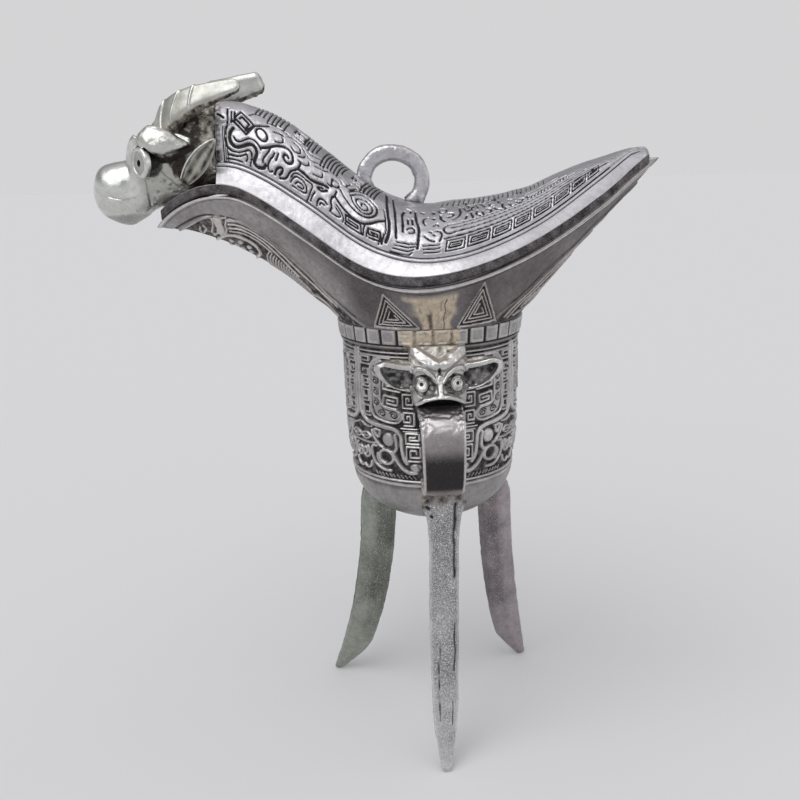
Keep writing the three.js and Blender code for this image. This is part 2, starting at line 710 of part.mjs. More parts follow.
// A horn rises from the brow and sweeps back and out. It is a blade with a flat outer face and a sharp
// lower edge: its section is given as shares of half its thickness, outwards, and half its depth, up.
const HORN_SECTION = [
  [-0.5, 1],
  [0.2, 0.96],
  [0.66, 0.3],
  [1, -0.5],
  [0.6, -0.95],
  [-0.5, -1],
  [-1, -0.4],
  [-1, 0.5],
];
function oxHorn(side, lift, tip, room) {
  const root = headPoint(0.61, 0.17);
  const along = (share, out, up) =>
    vec(root.x + (HORN_LENGTH + lift) * share, side * HORN_SPREAD * out, root.z + (HORN_RISE + lift) * up);
  const path = new THREE.CatmullRomCurve3([
    along(0, 0.39, 0),
    along(0.14, 0.59, 0.41),
    along(0.41, 0.8, 0.7),
    along(0.71, 0.93, 0.86),
    along(1, 1, 1),
  ]);
  const steps = 14;
  const rings = range(steps + 1).map((k) => {
    const t = k / steps;
    const ahead = path.getTangentAt(t);
    const outwards = vec(ahead.y, -ahead.x, 0).normalize();
    if (outwards.y * side < 0) outwards.negate();
    const upwards = outwards.clone().cross(ahead).normalize();
    if (upwards.z < 0) upwards.negate();
    const size = mix(tip, 1, (1 - t) ** 0.8) * (k === steps ? 0.7 : 1);
    return HORN_SECTION.map(([out, up]) =>
      path
        .getPointAt(t)
        .addScaledVector(outwards, (HORN_THICKNESS / 2) * size * out)
        .addScaledVector(upwards, (HORN_DEPTH / 2) * size * up),
    );
  });
  return biggest(loft(rings).subtract(room));
}

// A leaf ear, cupped on its outer side, brazed to the cheek behind the eye.
function oxEar(side, room) {
  const root = headPoint(0.782, -0.45, side * 0.98);
  const steps = 9;
  const tilt = vec(0.657, side * 0.286, 0.705).normalize();
  const across = vec(0.72, 0, -0.67).normalize();
  const out = across.clone().cross(tilt).normalize();
  if (out.y * side < 0) out.negate();
  const stations = range(steps + 1).map((k) => {
    const t = k / steps;
    const wide = Math.max(0.14, Math.sin(HALF_TURN * (0.14 + 0.84 * t)) ** 0.8);
    return {
      at: root.clone().addScaledVector(tilt, EAR_LENGTH * t),
      side: across,
      up: out,
      half: [(EAR_WIDTH / 2) * wide, (EAR_THICKNESS / 2) * Math.max(0.5, wide)],
      bow: EAR_THICKNESS * 0.8 * wide,
    };
  });
  return biggest(sweep(stations, 12, 2).subtract(room));
}

// A round eye like a button on a stem, with a drilled pupil, that looks forwards and out.
function oxEye(side, room) {
  const rod = (radius, from, to, sides) =>
    solidOf(
      new THREE.CylinderGeometry(radius, radius, to - from, sides)
        .rotateZ(HALF_TURN / 2)
        .translate((from + to) / 2, 0, 0),
    );
  const made = rod(EYE_RADIUS, -EYE_DEPTH, 0, 24)
    .add(rod(EYE_RADIUS * 0.5, 0, EYE_DEPTH * 2, 14))
    .subtract(rod(PUPIL_RADIUS, -EYE_DEPTH * 2, -EYE_DEPTH / 2, 12))
    .rotate([0, 0, -side * 42]);
  return biggest(made.translate(headPoint(0.48, -0.2, side * 0.92).toArray()).subtract(room));
}

// The largest of the bodies that a cut leaves.
function biggest(solid) {
  return solid.decompose().sort((a, b) => b.volume() - a.volume())[0];
}

const vessel = new THREE.Group();
vessel.add(piece("vessel_body", biggest(vesselBody), AGED));
vessel.add(piece("leg_handle_side", biggest(leg(HANDLE_LEG)), LEG_METAL));
vessel.add(piece("leg_tail_side", biggest(leg(TAIL_LEG)), LEG_METAL));
vessel.add(piece("leg_spout_side", biggest(leg(SPOUT_LEG)), LEG_METAL));
vessel.add(piece("handle_strap", biggest(strapBand(0).subtract(cupKeepOut)), AGED));
vessel.add(piece("handle_mask", biggest(handleMask()), AGED));

const lidGroup = new THREE.Group();
const lid = biggest(lidCover());
const head = biggest(oxHead(lid));
const headRoom = grown(head).add(liftedBy(lid, SEAT_GAP));
lidGroup.add(piece("lid_cover", lid, BRIGHT));
lidGroup.add(piece("lid_ring", biggest(lidRing(lid)), BRIGHT));
lidGroup.add(piece("ox_head", head, BRIGHT));
for (const [name, side, lift, tip] of [
  ["near", -1, 0, 0.3],
  ["far", 1, FAR_HORN_LIFT, 0.6],
]) {
  lidGroup.add(piece("ox_horn_" + name, oxHorn(side, lift, tip, headRoom), BRIGHT));
  lidGroup.add(piece("ox_ear_" + name, oxEar(side, headRoom), BRIGHT));
  lidGroup.add(piece("ox_eye_" + name, oxEye(side, headRoom), BRIGHT));
}

const jue = new THREE.Group();
jue.add(vessel, lidGroup);
const reach = new THREE.Box3().setFromObject(jue);
const middle = reach.getCenter(vec(0, 0, 0));
jue.position.set(-middle.x, -middle.y, -reach.min.z);

export default jue;
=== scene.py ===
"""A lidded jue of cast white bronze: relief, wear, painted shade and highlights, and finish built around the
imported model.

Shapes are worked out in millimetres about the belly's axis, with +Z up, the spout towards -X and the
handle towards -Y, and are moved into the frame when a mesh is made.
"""
import math

import bpy
import numpy as np
from mathutils import Matrix, Vector


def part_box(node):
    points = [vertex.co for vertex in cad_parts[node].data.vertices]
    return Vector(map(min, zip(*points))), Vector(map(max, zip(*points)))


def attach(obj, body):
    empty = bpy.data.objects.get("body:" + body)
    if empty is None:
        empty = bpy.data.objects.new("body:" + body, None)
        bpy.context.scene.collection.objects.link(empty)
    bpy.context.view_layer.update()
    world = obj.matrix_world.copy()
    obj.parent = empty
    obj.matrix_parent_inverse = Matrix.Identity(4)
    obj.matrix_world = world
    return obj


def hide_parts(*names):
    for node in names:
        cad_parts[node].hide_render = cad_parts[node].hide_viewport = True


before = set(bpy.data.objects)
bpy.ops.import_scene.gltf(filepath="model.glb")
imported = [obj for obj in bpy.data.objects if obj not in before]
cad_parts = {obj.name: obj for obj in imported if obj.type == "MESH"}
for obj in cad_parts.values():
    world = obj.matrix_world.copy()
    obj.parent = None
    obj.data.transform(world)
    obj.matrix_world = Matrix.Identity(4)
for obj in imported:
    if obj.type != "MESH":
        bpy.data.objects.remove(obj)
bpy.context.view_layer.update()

# Sizes in millimetres, as in the solid model
BELLY_RADIUS = 18.6
BELLY_HEIGHT = 39.1
ROUND_BOTTOM_HEIGHT = 12.6
BOTTOM_SINK = 5.8
BAND_HEIGHT = 4.4
BAND_PROUD = 1.0
CUP_WALL = 1.8
MOUTH_HALF_WIDTH = 22
RIM_RISE = 7.8
SPOUT_REACH = 55.2
SPOUT_HALF_WIDTH = 10.2
SPOUT_TIP_LIFT = 11.8
SPOUT_ARCH_LIFT = 17.6
SPOUT_BOW = 8.2
TAIL_REACH = 48
TAIL_LIFT = 22.4
RIM_WALL = 1.6
LEG_LENGTH = 54
LEG_WIDTH = 6.3
LEG_DEPTH = 8
LEG_FLARE = 0.5
FOOT_RADIUS = 27.4
FOOT_SIZE = 1.9
HANDLE_X = -0.3
STRAP_WIDTH = 8.8
STRAP_TAPER = 0.78
STRAP_THICKNESS = 1.9
STRAP_STAND_OFF = 11.6
STRAP_TOP_DROP = 15.4
STRAP_HEIGHT = 15.4
MASK_WIDTH = 10.8
MASK_TOP_DROP = 3.2
MASK_HEIGHT = 11.3
MASK_DEPTH = 6.8
LID_EDGE_THICKNESS = 1.9
LID_INSET = 1.2
LID_BAND_WIDTH = 2.8
LID_SHELL = 1.7
LID_SADDLE_RISE = 12.6
NECK_RISE = 15.6
NECK_END = SPOUT_REACH * 0.743
RING_RADIUS = 7.5
RING_THICKNESS = 3.2
RING_WIDTH = 3.2
RING_X = -6.9
RING_LIFT = 2.6
HEAD_LENGTH = 24.8
HEAD_HALF_WIDTH = 7.9
HEAD_HEIGHT = 14.4
NECK_MIDDLE = 7.2
HORN_LENGTH = 16.3
HORN_SPREAD = 9
HORN_RISE = 8.1
HORN_DEPTH = 6.6
HORN_THICKNESS = 3.8
FAR_HORN_LIFT = HORN_RISE * 0.3
EAR_LENGTH = 10.5
EAR_WIDTH = 3.8
EAR_THICKNESS = 1.6
EYE_RADIUS = 2.9
EYE_DEPTH = 1.2
SEAT_GAP = 0.3

BAND_TOP_Z = LEG_LENGTH + BELLY_HEIGHT
BAND_BOTTOM_Z = BAND_TOP_Z - BAND_HEIGHT
BOTTOM_Z = LEG_LENGTH - BOTTOM_SINK
SHOULDER_RADIUS = BELLY_RADIUS + BAND_PROUD
RIM_Z = BAND_TOP_Z + RIM_RISE
TURN_Z = BOTTOM_Z + ROUND_BOTTOM_HEIGHT

low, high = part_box("vessel_body")
SHIFT = np.array([low.x * 1000 + SPOUT_REACH, (low.y + high.y) * 500, 0])


# Curves and noise
def mix(a, b, t):
    return a + (b - a) * t


def through(*stations):
    """A smooth curve through stations (x, value), flat beyond its ends, as a function of an array x."""
    xs, ys = np.array(stations, float).T
    before = np.r_[0, np.arange(len(xs) - 1)]
    after = np.r_[np.arange(1, len(xs)), len(xs) - 1]
    slope = (ys[after] - ys[before]) / (xs[after] - xs[before])

    def at(x):
        x = np.clip(np.asarray(x, float), xs[0], xs[-1])
        i = np.clip(np.searchsorted(xs, x) - 1, 0, len(xs) - 2)
        span = xs[i + 1] - xs[i]
        t = (x - xs[i]) / span
        up = t * t * (3 - 2 * t)
        ends = t * (1 - t) ** 2 * slope[i] + t * t * (t - 1) * slope[i + 1]
        return ys[i] + (ys[i + 1] - ys[i]) * up + span * ends

    return at


def ease(x, start, end):
    """0 before start, 1 after end, smooth between."""
    t = np.clip((np.asarray(x, float) - start) / (end - start), 0, 1)
    return t * t * (3 - 2 * t)


def smooth_path(points, step, closed=False):
    """Points at about even steps along a smooth curve through the given ones."""
    p = np.array(points, float)
    if len(p) < 3:
        count = max(2, int(np.linalg.norm(p[-1] - p[0]) / step) + 1)
        return mix(p[0], p[-1], np.linspace(0, 1, count)[:, None])
    around = np.vstack([p[-1], p, p[:2]]) if closed else np.vstack([2 * p[0] - p[1], p, 2 * p[-1] - p[-2]])
    parts = []
    for a, b, c, d in zip(around[:-3], around[1:-2], around[2:-1], around[3:]):
        t = np.linspace(0, 1, max(2, int(np.linalg.norm(c - b) / step) + 1), endpoint=False)[:, None]
        parts.append(
            0.5 * (2 * b + (c - a) * t + (2 * a - 5 * b + 4 * c - d) * t**2 + (3 * b - a - 3 * c + d) * t**3)
        )
    return np.vstack([*parts, p[:1] if closed else p[-1:]])


LATTICE = np.random.default_rng(7).random((32, 32, 32))


def noise(points, size, octaves=2):
    """Smooth noise from -1 to 1 with lumps of about the given size."""
    total = np.zeros(points.shape[:-1])
    weight = 1.0
    for k in range(octaves):
        p = points / size * 2**k + 11.3 * k
        cell = np.floor(p).astype(int)
        t = p - cell
        t = t * t * (3 - 2 * t)
        value = 0
        for corner in range(8):
            bits = np.array([corner & 1, corner >> 1 & 1, corner >> 2])
            i, j, l = np.moveaxis((cell + bits) % 32, -1, 0)
            value = value + LATTICE[i, j, l] * np.prod(np.where(bits, t, 1 - t), axis=-1)
        total += weight * (2 * value - 1)
        weight *= 0.5
    return total


# The vessel's outline along X: half width of the mouth, height of the rim, and the lid over it
mouth_half_width = through(
    (-SPOUT_REACH, 0),
    (-SPOUT_REACH * 0.965, SPOUT_HALF_WIDTH * 0.45),
    (-SPOUT_REACH * 0.9, SPOUT_HALF_WIDTH * 0.82),
    (-SPOUT_REACH * 0.81, SPOUT_HALF_WIDTH * 0.94),
    (-SPOUT_REACH * 0.67, SPOUT_HALF_WIDTH * 1.12),
    (-SPOUT_REACH * 0.36, MOUTH_HALF_WIDTH * 0.77),
    (-SPOUT_REACH * 0.13, MOUTH_HALF_WIDTH * 0.955),
    (0, MOUTH_HALF_WIDTH),
    (TAIL_REACH * 0.14, MOUTH_HALF_WIDTH * 0.98),
    (TAIL_REACH * 0.4, MOUTH_HALF_WIDTH * 0.81),
    (TAIL_REACH * 0.7, MOUTH_HALF_WIDTH * 0.5),
    (TAIL_REACH * 0.87, MOUTH_HALF_WIDTH * 0.265),
    (TAIL_REACH * 0.96, MOUTH_HALF_WIDTH * 0.11),
    (TAIL_REACH, 0),
)
rim_height = through(
    (-SPOUT_REACH, RIM_Z + SPOUT_TIP_LIFT),
    (-SPOUT_REACH * 0.9, RIM_Z + mix(SPOUT_TIP_LIFT, SPOUT_ARCH_LIFT, 0.6)),
    (-SPOUT_REACH * 0.815, RIM_Z + mix(SPOUT_TIP_LIFT, SPOUT_ARCH_LIFT, 0.93)),
    (-SPOUT_REACH * 0.735, RIM_Z + SPOUT_ARCH_LIFT),
    (-SPOUT_REACH * 0.665, RIM_Z + SPOUT_ARCH_LIFT * 0.955),
    (-SPOUT_REACH * 0.57, RIM_Z + SPOUT_ARCH_LIFT * 0.795),
    (-SPOUT_REACH * 0.455, RIM_Z + SPOUT_ARCH_LIFT * 0.545),
    (-SPOUT_REACH * 0.26, RIM_Z + SPOUT_ARCH_LIFT * 0.13),
    (-SPOUT_REACH * 0.1, RIM_Z),
    (TAIL_REACH * 0.12, RIM_Z + TAIL_LIFT * 0.055),
    (TAIL_REACH * 0.4, RIM_Z + TAIL_LIFT * 0.26),
    (TAIL_REACH * 0.71, RIM_Z + TAIL_LIFT * 0.615),
    (TAIL_REACH * 0.89, RIM_Z + TAIL_LIFT * 0.87),
    (TAIL_REACH, RIM_Z + TAIL_LIFT),
)
crest_rise = through(
    (-NECK_END, NECK_RISE),
    (-NECK_END * 0.88, NECK_RISE * 1.05),
    (-NECK_END * 0.66, NECK_RISE * 1.16),
    (-NECK_END * 0.4, NECK_RISE * 1.1),
    (-NECK_END * 0.14, LID_SADDLE_RISE * 1.1),
    (0, LID_SADDLE_RISE * 0.985),
    (TAIL_REACH * 0.12, LID_SADDLE_RISE * 0.94),
    (TAIL_REACH * 0.31, LID_SADDLE_RISE * 0.79),
    (TAIL_REACH * 0.45, LID_SADDLE_RISE * 0.68),
    (TAIL_REACH * 0.58, LID_SADDLE_RISE * 0.625),
    (TAIL_REACH * 0.71, LID_SADDLE_RISE * 0.505),
    (TAIL_REACH * 0.84, LID_SADDLE_RISE * 0.315),
    (TAIL_REACH * 0.94, LID_SADDLE_RISE * 0.13),
    (TAIL_REACH, LID_SADDLE_RISE * 0.05),
)
band_rise = through(
    (-NECK_END, 4),
    (-NECK_END * 0.55, 5),
    (-NECK_END * 0.25, 3.9),
    (0, 2.7),
    (TAIL_REACH * 0.42, 2.6),
    (TAIL_REACH * 0.75, 3.3),
    (TAIL_REACH, 2),
)


def lid_edge_height(x):
    return rim_height(x) + SEAT_GAP + LID_EDGE_THICKNESS


def lid_half_width(x):
    return np.maximum(0.25, mouth_half_width(x) - LID_INSET)


def rim_at(q, inset):
    """The near half of the rim at q: 0 the spout's tip, 1 the widest place, 2 the tail's tip."""
    out = np.zeros(q.shape + (3,))
    for reach, sign, first in ((SPOUT_REACH, -1, 0), (TAIL_REACH, 1, 1)):
        x = np.linspace(-reach, 0, 801) if sign < 0 else np.linspace(0, reach, 801)
        half = mouth_half_width(x)
        flank = np.minimum(half * (1 - inset / MOUTH_HALF_WIDTH), half - inset * 0.9)
        rim = np.stack([x * (reach - inset * 1.6) / reach, -np.maximum(0, flank), rim_height(x)], -1)
        run = np.r_[0, np.cumsum(np.linalg.norm(np.diff(rim, axis=0), axis=1))]
        here = (q >= first) & (q <= first + 1)
        for axis in range(3):
            out[here, axis] = np.interp(q[here] - first, run / run[-1], rim[:, axis])
    return out


def mouth_at(q, t, rim_inset=0.0, cup_inset=0.0):
    """The flaring wall from the band (t = 0) to the rim (t = 1). q runs from 0 to 4 all the way round."""
    q, t = np.broadcast_arrays(np.asarray(q, float), np.asarray(t, float))
    turn = math.pi + q * math.pi / 2
    radius = SHOULDER_RADIUS - cup_inset
    start = np.stack([radius * np.cos(turn), radius * np.sin(turn), np.full(q.shape, BAND_TOP_Z)], -1)
    end = rim_at(np.where(q > 2, 4 - q, q), rim_inset)
    end[..., 1] *= np.where(q > 2, -1, 1)
    facing = np.cos(turn)
    to_side = (1 - np.abs(facing)) * 0.6
    bend = (start + end) / 2
    bend[..., 2] += SPOUT_BOW * np.maximum(0, -facing) ** 3
    bend[..., 0] = mix(bend[..., 0], start[..., 0], to_side)
    bend[..., 1] = mix(bend[..., 1], start[..., 1], to_side)
    t = t[..., None]
    return start * (1 - t) ** 2 + bend * 2 * t * (1 - t) + end * t * t


# Meshes
def normals(grid, wrap=True):
    """Unit normals of a grid of points [row, column], columns going round if wrap."""
    along = np.gradient(grid, axis=0)
    if wrap:
        around = (np.roll(grid, -1, axis=1) - np.roll(grid, 1, axis=1)) / 2
    else:
        around = np.gradient(grid, axis=1)
    n = np.cross(around, along)
    return n / np.maximum(np.linalg.norm(n, axis=-1, keepdims=True), 1e-12)


def outward_normals(grid):
    """Normals of a tube of rings, pointing away from its middle."""
    n = normals(grid)
    return n * np.sign(np.einsum("rci,rci->rc", n, grid - grid.mean(1, keepdims=True)).mean())


def grid_faces(rows, columns, wrap_rows=False, first_cap=False, last_cap=False):
    """Faces of a tube of rows rings, and the vertex count with one middle vertex for each cap."""
    r = np.arange(rows if wrap_rows else rows - 1)[:, None]
    c = np.arange(columns)[None, :]
    nr, nc = (r + 1) % rows, (c + 1) % columns
    corners = [r * columns + c, r * columns + nc, nr * columns + nc, nr * columns + c]
    quads = np.stack(corners, -1).reshape(-1, 4)
    triangles = []
    c = np.arange(columns)
    hub = rows * columns
    for used, base, flip in ((first_cap, 0, True), (last_cap, (rows - 1) * columns, False)):
        if used:
            a, b = base + c, base + (c + 1) % columns
            first, second = (b, a) if flip else (a, b)
            triangles.append(np.stack([first, second, np.full(columns, hub)], -1))
            hub += 1
    return quads, np.vstack(triangles) if triangles else np.zeros((0, 3), int)


def volume_of(points, quads, triangles):
    tris = np.vstack([quads[:, [0, 1, 2]], quads[:, [0, 2, 3]], triangles])
    a, b, c = (points[tris[:, k]] for k in range(3))
    return np.einsum("ij,ij->i", a, np.cross(b, c)).sum() / 6


def mesh_from(name, points, quads, triangles):
    """A bare mesh from millimetre points about the belly's axis, turned right side out."""
    if volume_of(points - points.mean(0), quads, triangles) < 0:
        quads, triangles = quads[:, ::-1], triangles[:, ::-1]
    mesh = bpy.data.meshes.new(name)
    loops = np.r_[quads.ravel(), triangles.ravel()].astype(np.int32)
    starts = np.r_[np.arange(len(quads)) * 4, len(quads) * 4 + np.arange(len(triangles)) * 3].astype(np.int32)
    mesh.vertices.add(len(points))
    mesh.vertices.foreach_set("co", ((points + SHIFT) / 1000).astype(np.float32).ravel())
    mesh.loops.add(len(loops))
    mesh.loops.foreach_set("vertex_index", loops)
    mesh.polygons.add(len(starts))
    mesh.polygons.foreach_set("loop_start", starts)
    mesh.update(calc_edges=True)
    mesh.polygons.foreach_set("use_smooth", np.ones(len(starts), bool))
    return mesh


def finish_piece(mesh, name, wear_and_painted_light, material, body, nodes):
    """Adds the wear and painted light values (patina with painted shade, polish with painted highlights,
    warmth) and places the piece in the frame.
    """
    colour = mesh.color_attributes.new("wear_and_painted_light", "FLOAT_COLOR", "POINT")
    values = np.ones((len(mesh.vertices), 4), np.float32)
    values[:, :3] = np.clip(wear_and_painted_light, 0, 1)
    colour.data.foreach_set("color", values.ravel())
    mesh.materials.append(material)
    piece = bpy.data.objects.new(name, mesh)
    bpy.context.scene.collection.objects.link(piece)
    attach(piece, body)
    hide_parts(*nodes)
    return piece


def tube_piece(name, grid, wear_and_painted_light, material, body, nodes, wrap_rows=False, caps=(True, True)):
    """A closed piece from rings of points, with wear and painted light [row, column, 3]."""
    rows, columns = grid.shape[:2]
    points, values = grid.reshape(-1, 3), np.broadcast_to(wear_and_painted_light, grid.shape).reshape(-1, 3)
    if wrap_rows:
        caps = (False, False)
    for used, row in zip(caps, (0, -1)):
        if used:
            points = np.vstack([points, grid[row].mean(0)])
            values = np.vstack([values, np.broadcast_to(wear_and_painted_light, grid.shape)[row].mean(0)])
    quads, triangles = grid_faces(rows, columns, wrap_rows, *caps)
    return finish_piece(mesh_from(name, points, quads, triangles), name, values, material, body, nodes)


def fused(name, parts, voxel, smoothing):
    """Points, normals and the mesh of several closed forms (grids of rings) melted into one skin."""
    points, quads, triangles, count = [], [], [], 0
    for grid in parts:
        rows, columns = grid.shape[:2]
        own = np.vstack([grid.reshape(-1, 3), grid[0].mean(0), grid[-1].mean(0)])
        q, t = grid_faces(rows, columns, False, True, True)
        if volume_of(own - own.mean(0), q, t) < 0:
            q, t = q[:, ::-1], t[:, ::-1]
        points.append(own)
        quads.append(q + count)
        triangles.append(t + count)
        count += len(own)
    mesh = mesh_from(name, np.vstack(points), np.vstack(quads), np.vstack(triangles))
    rough = bpy.data.objects.new(name + "_rough", mesh)
    bpy.context.scene.collection.objects.link(rough)
    remesh = rough.modifiers.new("melt", "REMESH")
    remesh.mode = "VOXEL"
    remesh.voxel_size = voxel / 1000
    remesh.use_smooth_shade = True
    soft = rough.modifiers.new("soft", "SMOOTH")
    soft.iterations = smoothing
    soft.factor = 0.5
    depsgraph = bpy.context.evaluated_depsgraph_get()
    made = bpy.data.meshes.new_from_object(rough.evaluated_get(depsgraph), depsgraph=depsgraph)
    bpy.data.objects.remove(rough)
    bpy.data.meshes.remove(mesh)
    made.name = name
    co = np.zeros(len(made.vertices) * 3, np.float32)
    made.vertices.foreach_get("co", co)
    return made, co.reshape(-1, 3).astype(float) * 1000 - SHIFT


def mesh_normals(mesh):
    n = np.zeros(len(mesh.vertices) * 3, np.float32)
    mesh.vertices.foreach_get("normal", n)
    return n.reshape(-1, 3).astype(float)


def set_points(mesh, points):
    mesh.vertices.foreach_set("co", ((points + SHIFT) / 1000).astype(np.float32).ravel())
    mesh.update()
    mesh.polygons.foreach_set("use_smooth", np.ones(len(mesh.polygons), bool))


def section(turn, squareness):
    """Unit superellipse points (cos-like, sin-like) at the angles."""
    power = 2 / squareness
    c, s = np.cos(turn), np.sin(turn)
    return np.sign(c) * np.abs(c) ** power, np.sign(s) * np.abs(s) ** power


def swept(centres, side, up, half_side, half_up, columns=48, squareness=2.0, bow=0.0):
    """Rings along centres. side and up are unit directions, one for all or one for each ring."""
    turn = np.linspace(0, 2 * math.pi, columns, endpoint=False)
    c, s = section(turn, squareness)
    side = np.broadcast_to(side, centres.shape)[:, None]
    up = np.broadcast_to(up, centres.shape)[:, None]
    half_side = np.broadcast_to(half_side, len(centres))[:, None, None]
    half_up = np.broadcast_to(half_up, len(centres))[:, None, None]
    sink = np.broadcast_to(bow, len(centres))[:, None, None] * np.sin(turn)[None, :, None] ** 2
    return centres[:, None] + side * half_side * c[None, :, None] + up * (half_up * s[None, :, None] - sink)


def strokes_on(points, strokes):
    """Height from 0 to 1 of raised lines drawn through space: (path, width, height) each."""
    height = np.zeros(len(points))
    for path, width, top in strokes:
        radius = width / 2
        for k in range(0, len(path), 16):
            some = path[k : k + 17]
            within = (points > some.min(0) - radius) & (points < some.max(0) + radius)
            near = np.nonzero(np.all(within, axis=1))[0]
            if len(near):
                gap = np.linalg.norm(points[near, None] - some[None], axis=2).min(1) / radius
                height[near] = np.maximum(height[near], top * np.clip(1.35 * (1 - gap**2), 0, 1))
    return height


class Board:
    """A drawing board in millimetres, on which strokes raise the height from 0 to 1."""

    CELL = 0.06

    def __init__(self, left, right, low, high):
        self.left, self.low = left, low
        self.u = np.arange(left, right, self.CELL)
        self.v = np.arange(low, high, self.CELL)
        self.height = np.zeros((len(self.v), len(self.u)))

    def _window(self, u0, u1, v0, v1):
        a = max(0, int((u0 - self.left) / self.CELL))
        b = min(len(self.u), int((u1 - self.left) / self.CELL) + 2)
        c = max(0, int((v0 - self.low) / self.CELL))
        d = min(len(self.v), int((v1 - self.low) / self.CELL) + 2)
        return (slice(c, d), slice(a, b)) if a < b and c < d else None

    def path(self, points, width=0.6, top=1.0):
        """A stroke along straight lines between points."""
        r = width / 2
        for (u0, v0), (u1, v1) in zip(points[:-1], points[1:]):
            w = self._window(min(u0, u1) - r, max(u0, u1) + r, min(v0, v1) - r, max(v0, v1) + r)
            if w is None:
                continue
            u, v = self.u[None, w[1]], self.v[w[0], None]
            du, dv = u1 - u0, v1 - v0
            t = np.clip(((u - u0) * du + (v - v0) * dv) / max(du * du + dv * dv, 1e-9), 0, 1)
            gap = np.hypot(u - u0 - t * du, v - v0 - t * dv) / r
            self.height[w] = np.maximum(self.height[w], top * np.clip(1.4 * (1 - gap**2), 0, 1))

    def curve(self, points, width=0.6, top=1.0, closed=False):
        self.path(smooth_path(points, 0.25, closed), width, top)

    def dome(self, u, v, radius, top=1.0, flat=0.5):
        """A boss. flat is the power of its fall: small is pointed, large is a plateau."""
        ru, rv = (radius, radius) if np.isscalar(radius) else radius
        w = self._window(u - ru, u + ru, v - rv, v + rv)
        if w is None:
            return
        gap = np.hypot((self.u[None, w[1]] - u) / ru, (self.v[w[0], None] - v) / rv)
        self.height[w] = np.maximum(self.height[w], top * np.clip(1 - gap**2, 0, 1) ** flat)

    def key(self, u, v, wide, tall, width=0.45, pitch=0.9, tilt=0.0, flip=False, top=1.0):
        """A squared spiral, as in a cloud-and-thunder ground."""
        a, b = wide / 2, tall / 2
        points = [(-a, -b)]
        while a > 0.25 * pitch and b > 0.25 * pitch:
            points += [(a, -b), (a, b), (-a, b), (-a, -b + pitch)]
            a, b = a - pitch, b - pitch
            if a > 0 and b > 0:
                points.append((a, -b))
        c, s = math.cos(tilt), math.sin(tilt)
        turned = [((-x if flip else x), y) for x, y in points]
        self.path([(u + c * x - s * y, v + s * x + c * y) for x, y in turned], 1.25 * width, top)

    def scroll(self, u, v, radius, turns=1.6, width=0.5, start=0.0, flip=False, inner=0.25, top=1.0):
        """A round spiral from its rim to its eye. radius may be a pair."""
        ru, rv = (radius, radius) if np.isscalar(radius) else radius
        t = np.linspace(0, 1, max(8, int(turns * 22)))
        swing = start + (-1 if flip else 1) * 2 * math.pi * turns * t
        share = 1 - (1 - inner) * t
        self.path(list(zip(u + ru * share * np.cos(swing), v + rv * share * np.sin(swing))), width, top)

    def sample(self, u, v):
        x = np.clip((u - self.left) / self.CELL, 0, len(self.u) - 1.001)
        y = np.clip((v - self.low) / self.CELL, 0, len(self.v) - 1.001)
        i, j = y.astype(int), x.astype(int)
        a, b = y - i, x - j
        h = self.height
        left = h[i, j] * (1 - a) + h[i + 1, j] * a
        right = h[i, j + 1] * (1 - a) + h[i + 1, j + 1] * a
        return left * (1 - b) + right * b


# The belly's ornament, drawn once from the strap to the first divider: half a beast face with a round
# eye, over a ground of squared spirals. u is measured round the belly, v is height.
STRAP_SIDE_U = 4
DIVIDER_U = 18.8
FACE_REPEAT_U = 29.6
BELLY_BOARD_EDGES = (3.4, 19.4, 59.2, 89.6)


def belly_ridges(board):
    """The border lines, the long ridge down the divider, and the lower one that ends in a scroll."""
    line, curve = board.path, board.curve
    for v, width in ((88.0, 0.5), (87.2, 0.45), (61.15, 0.6), (60.25, 0.7)):
        line([(3, v), (20, v)], width)
    curve([(18.35, 88), (18.35, 82), (18.35, 76.5), (18.1, 75), (17, 73.7), (15.5, 73.1), (12.4, 72.7),
           (9.9, 72.4), (8.6, 71.7), (8, 70.6), (8, 69), (7.85, 67.5), (7.6, 66.2), (7, 65.2)], 1.15)
    line([(17.45, 82.6), (17.45, 76.2), (17.2, 74.9)], 0.45)
    curve([(10.3, 67.3), (9.6, 66.2), (8.9, 65), (7.9, 63.9), (6.4, 63.1), (5, 63.3)], 1.1)
    board.dome(5.2, 64.3, (1.3, 0.95), 1.0, 0.4)


def belly_eye(board):
    """The eye with its lids and hook, and the ring boss with the curls round it."""
    line, curve = board.path, board.curve
    board.dome(11.1, 69.95, (1.45, 1.55), 1.35, 0.5)
    curve([(9.35, 71.1), (9.15, 69.6), (9.25, 68.2), (9.75, 67.5)], 0.95)
    curve([(12.9, 71.7), (14.5, 71.75), (13.5, 70.2), (12.9, 71.7)], 0.6)
    curve([(15.2, 71.4), (14.4, 69.8), (13.3, 68.5), (12.4, 68.1)], 0.7)
    board.scroll(11.75, 66.15, (1.75, 1.5), 1.0, 0.85, 0, False, 1.0, 1.2)
    curve([(14.2, 68.2), (15.2, 68.1), (15.7, 67), (15.4, 65.4), (14.5, 64), (12.8, 63.2), (10.9, 63.2)],
          0.75)
    curve([(14.1, 66.6), (14.1, 65.4), (13.4, 64.4)], 0.5)
    board.scroll(17.7, 66.4, (1.5, 1.6), 1.35, 0.7, 2.2)
    curve([(16.1, 64.3), (16.6, 63.2), (17.8, 62.7), (18.8, 63.2)], 0.7)
    curve([(15.6, 70), (16.6, 70.7), (17.8, 70.5), (18.8, 69.9), (17.8, 69.3), (16.6, 69.4), (15.6, 70)], 0.5)
    line([(16.3, 70), (18, 69.95)], 0.35)
    curve([(15.2, 72.2), (16.8, 72.1), (18.4, 72.7)], 0.5)
    curve([(14.2, 68.9), (16, 68.6), (18.8, 68.6)], 0.5)


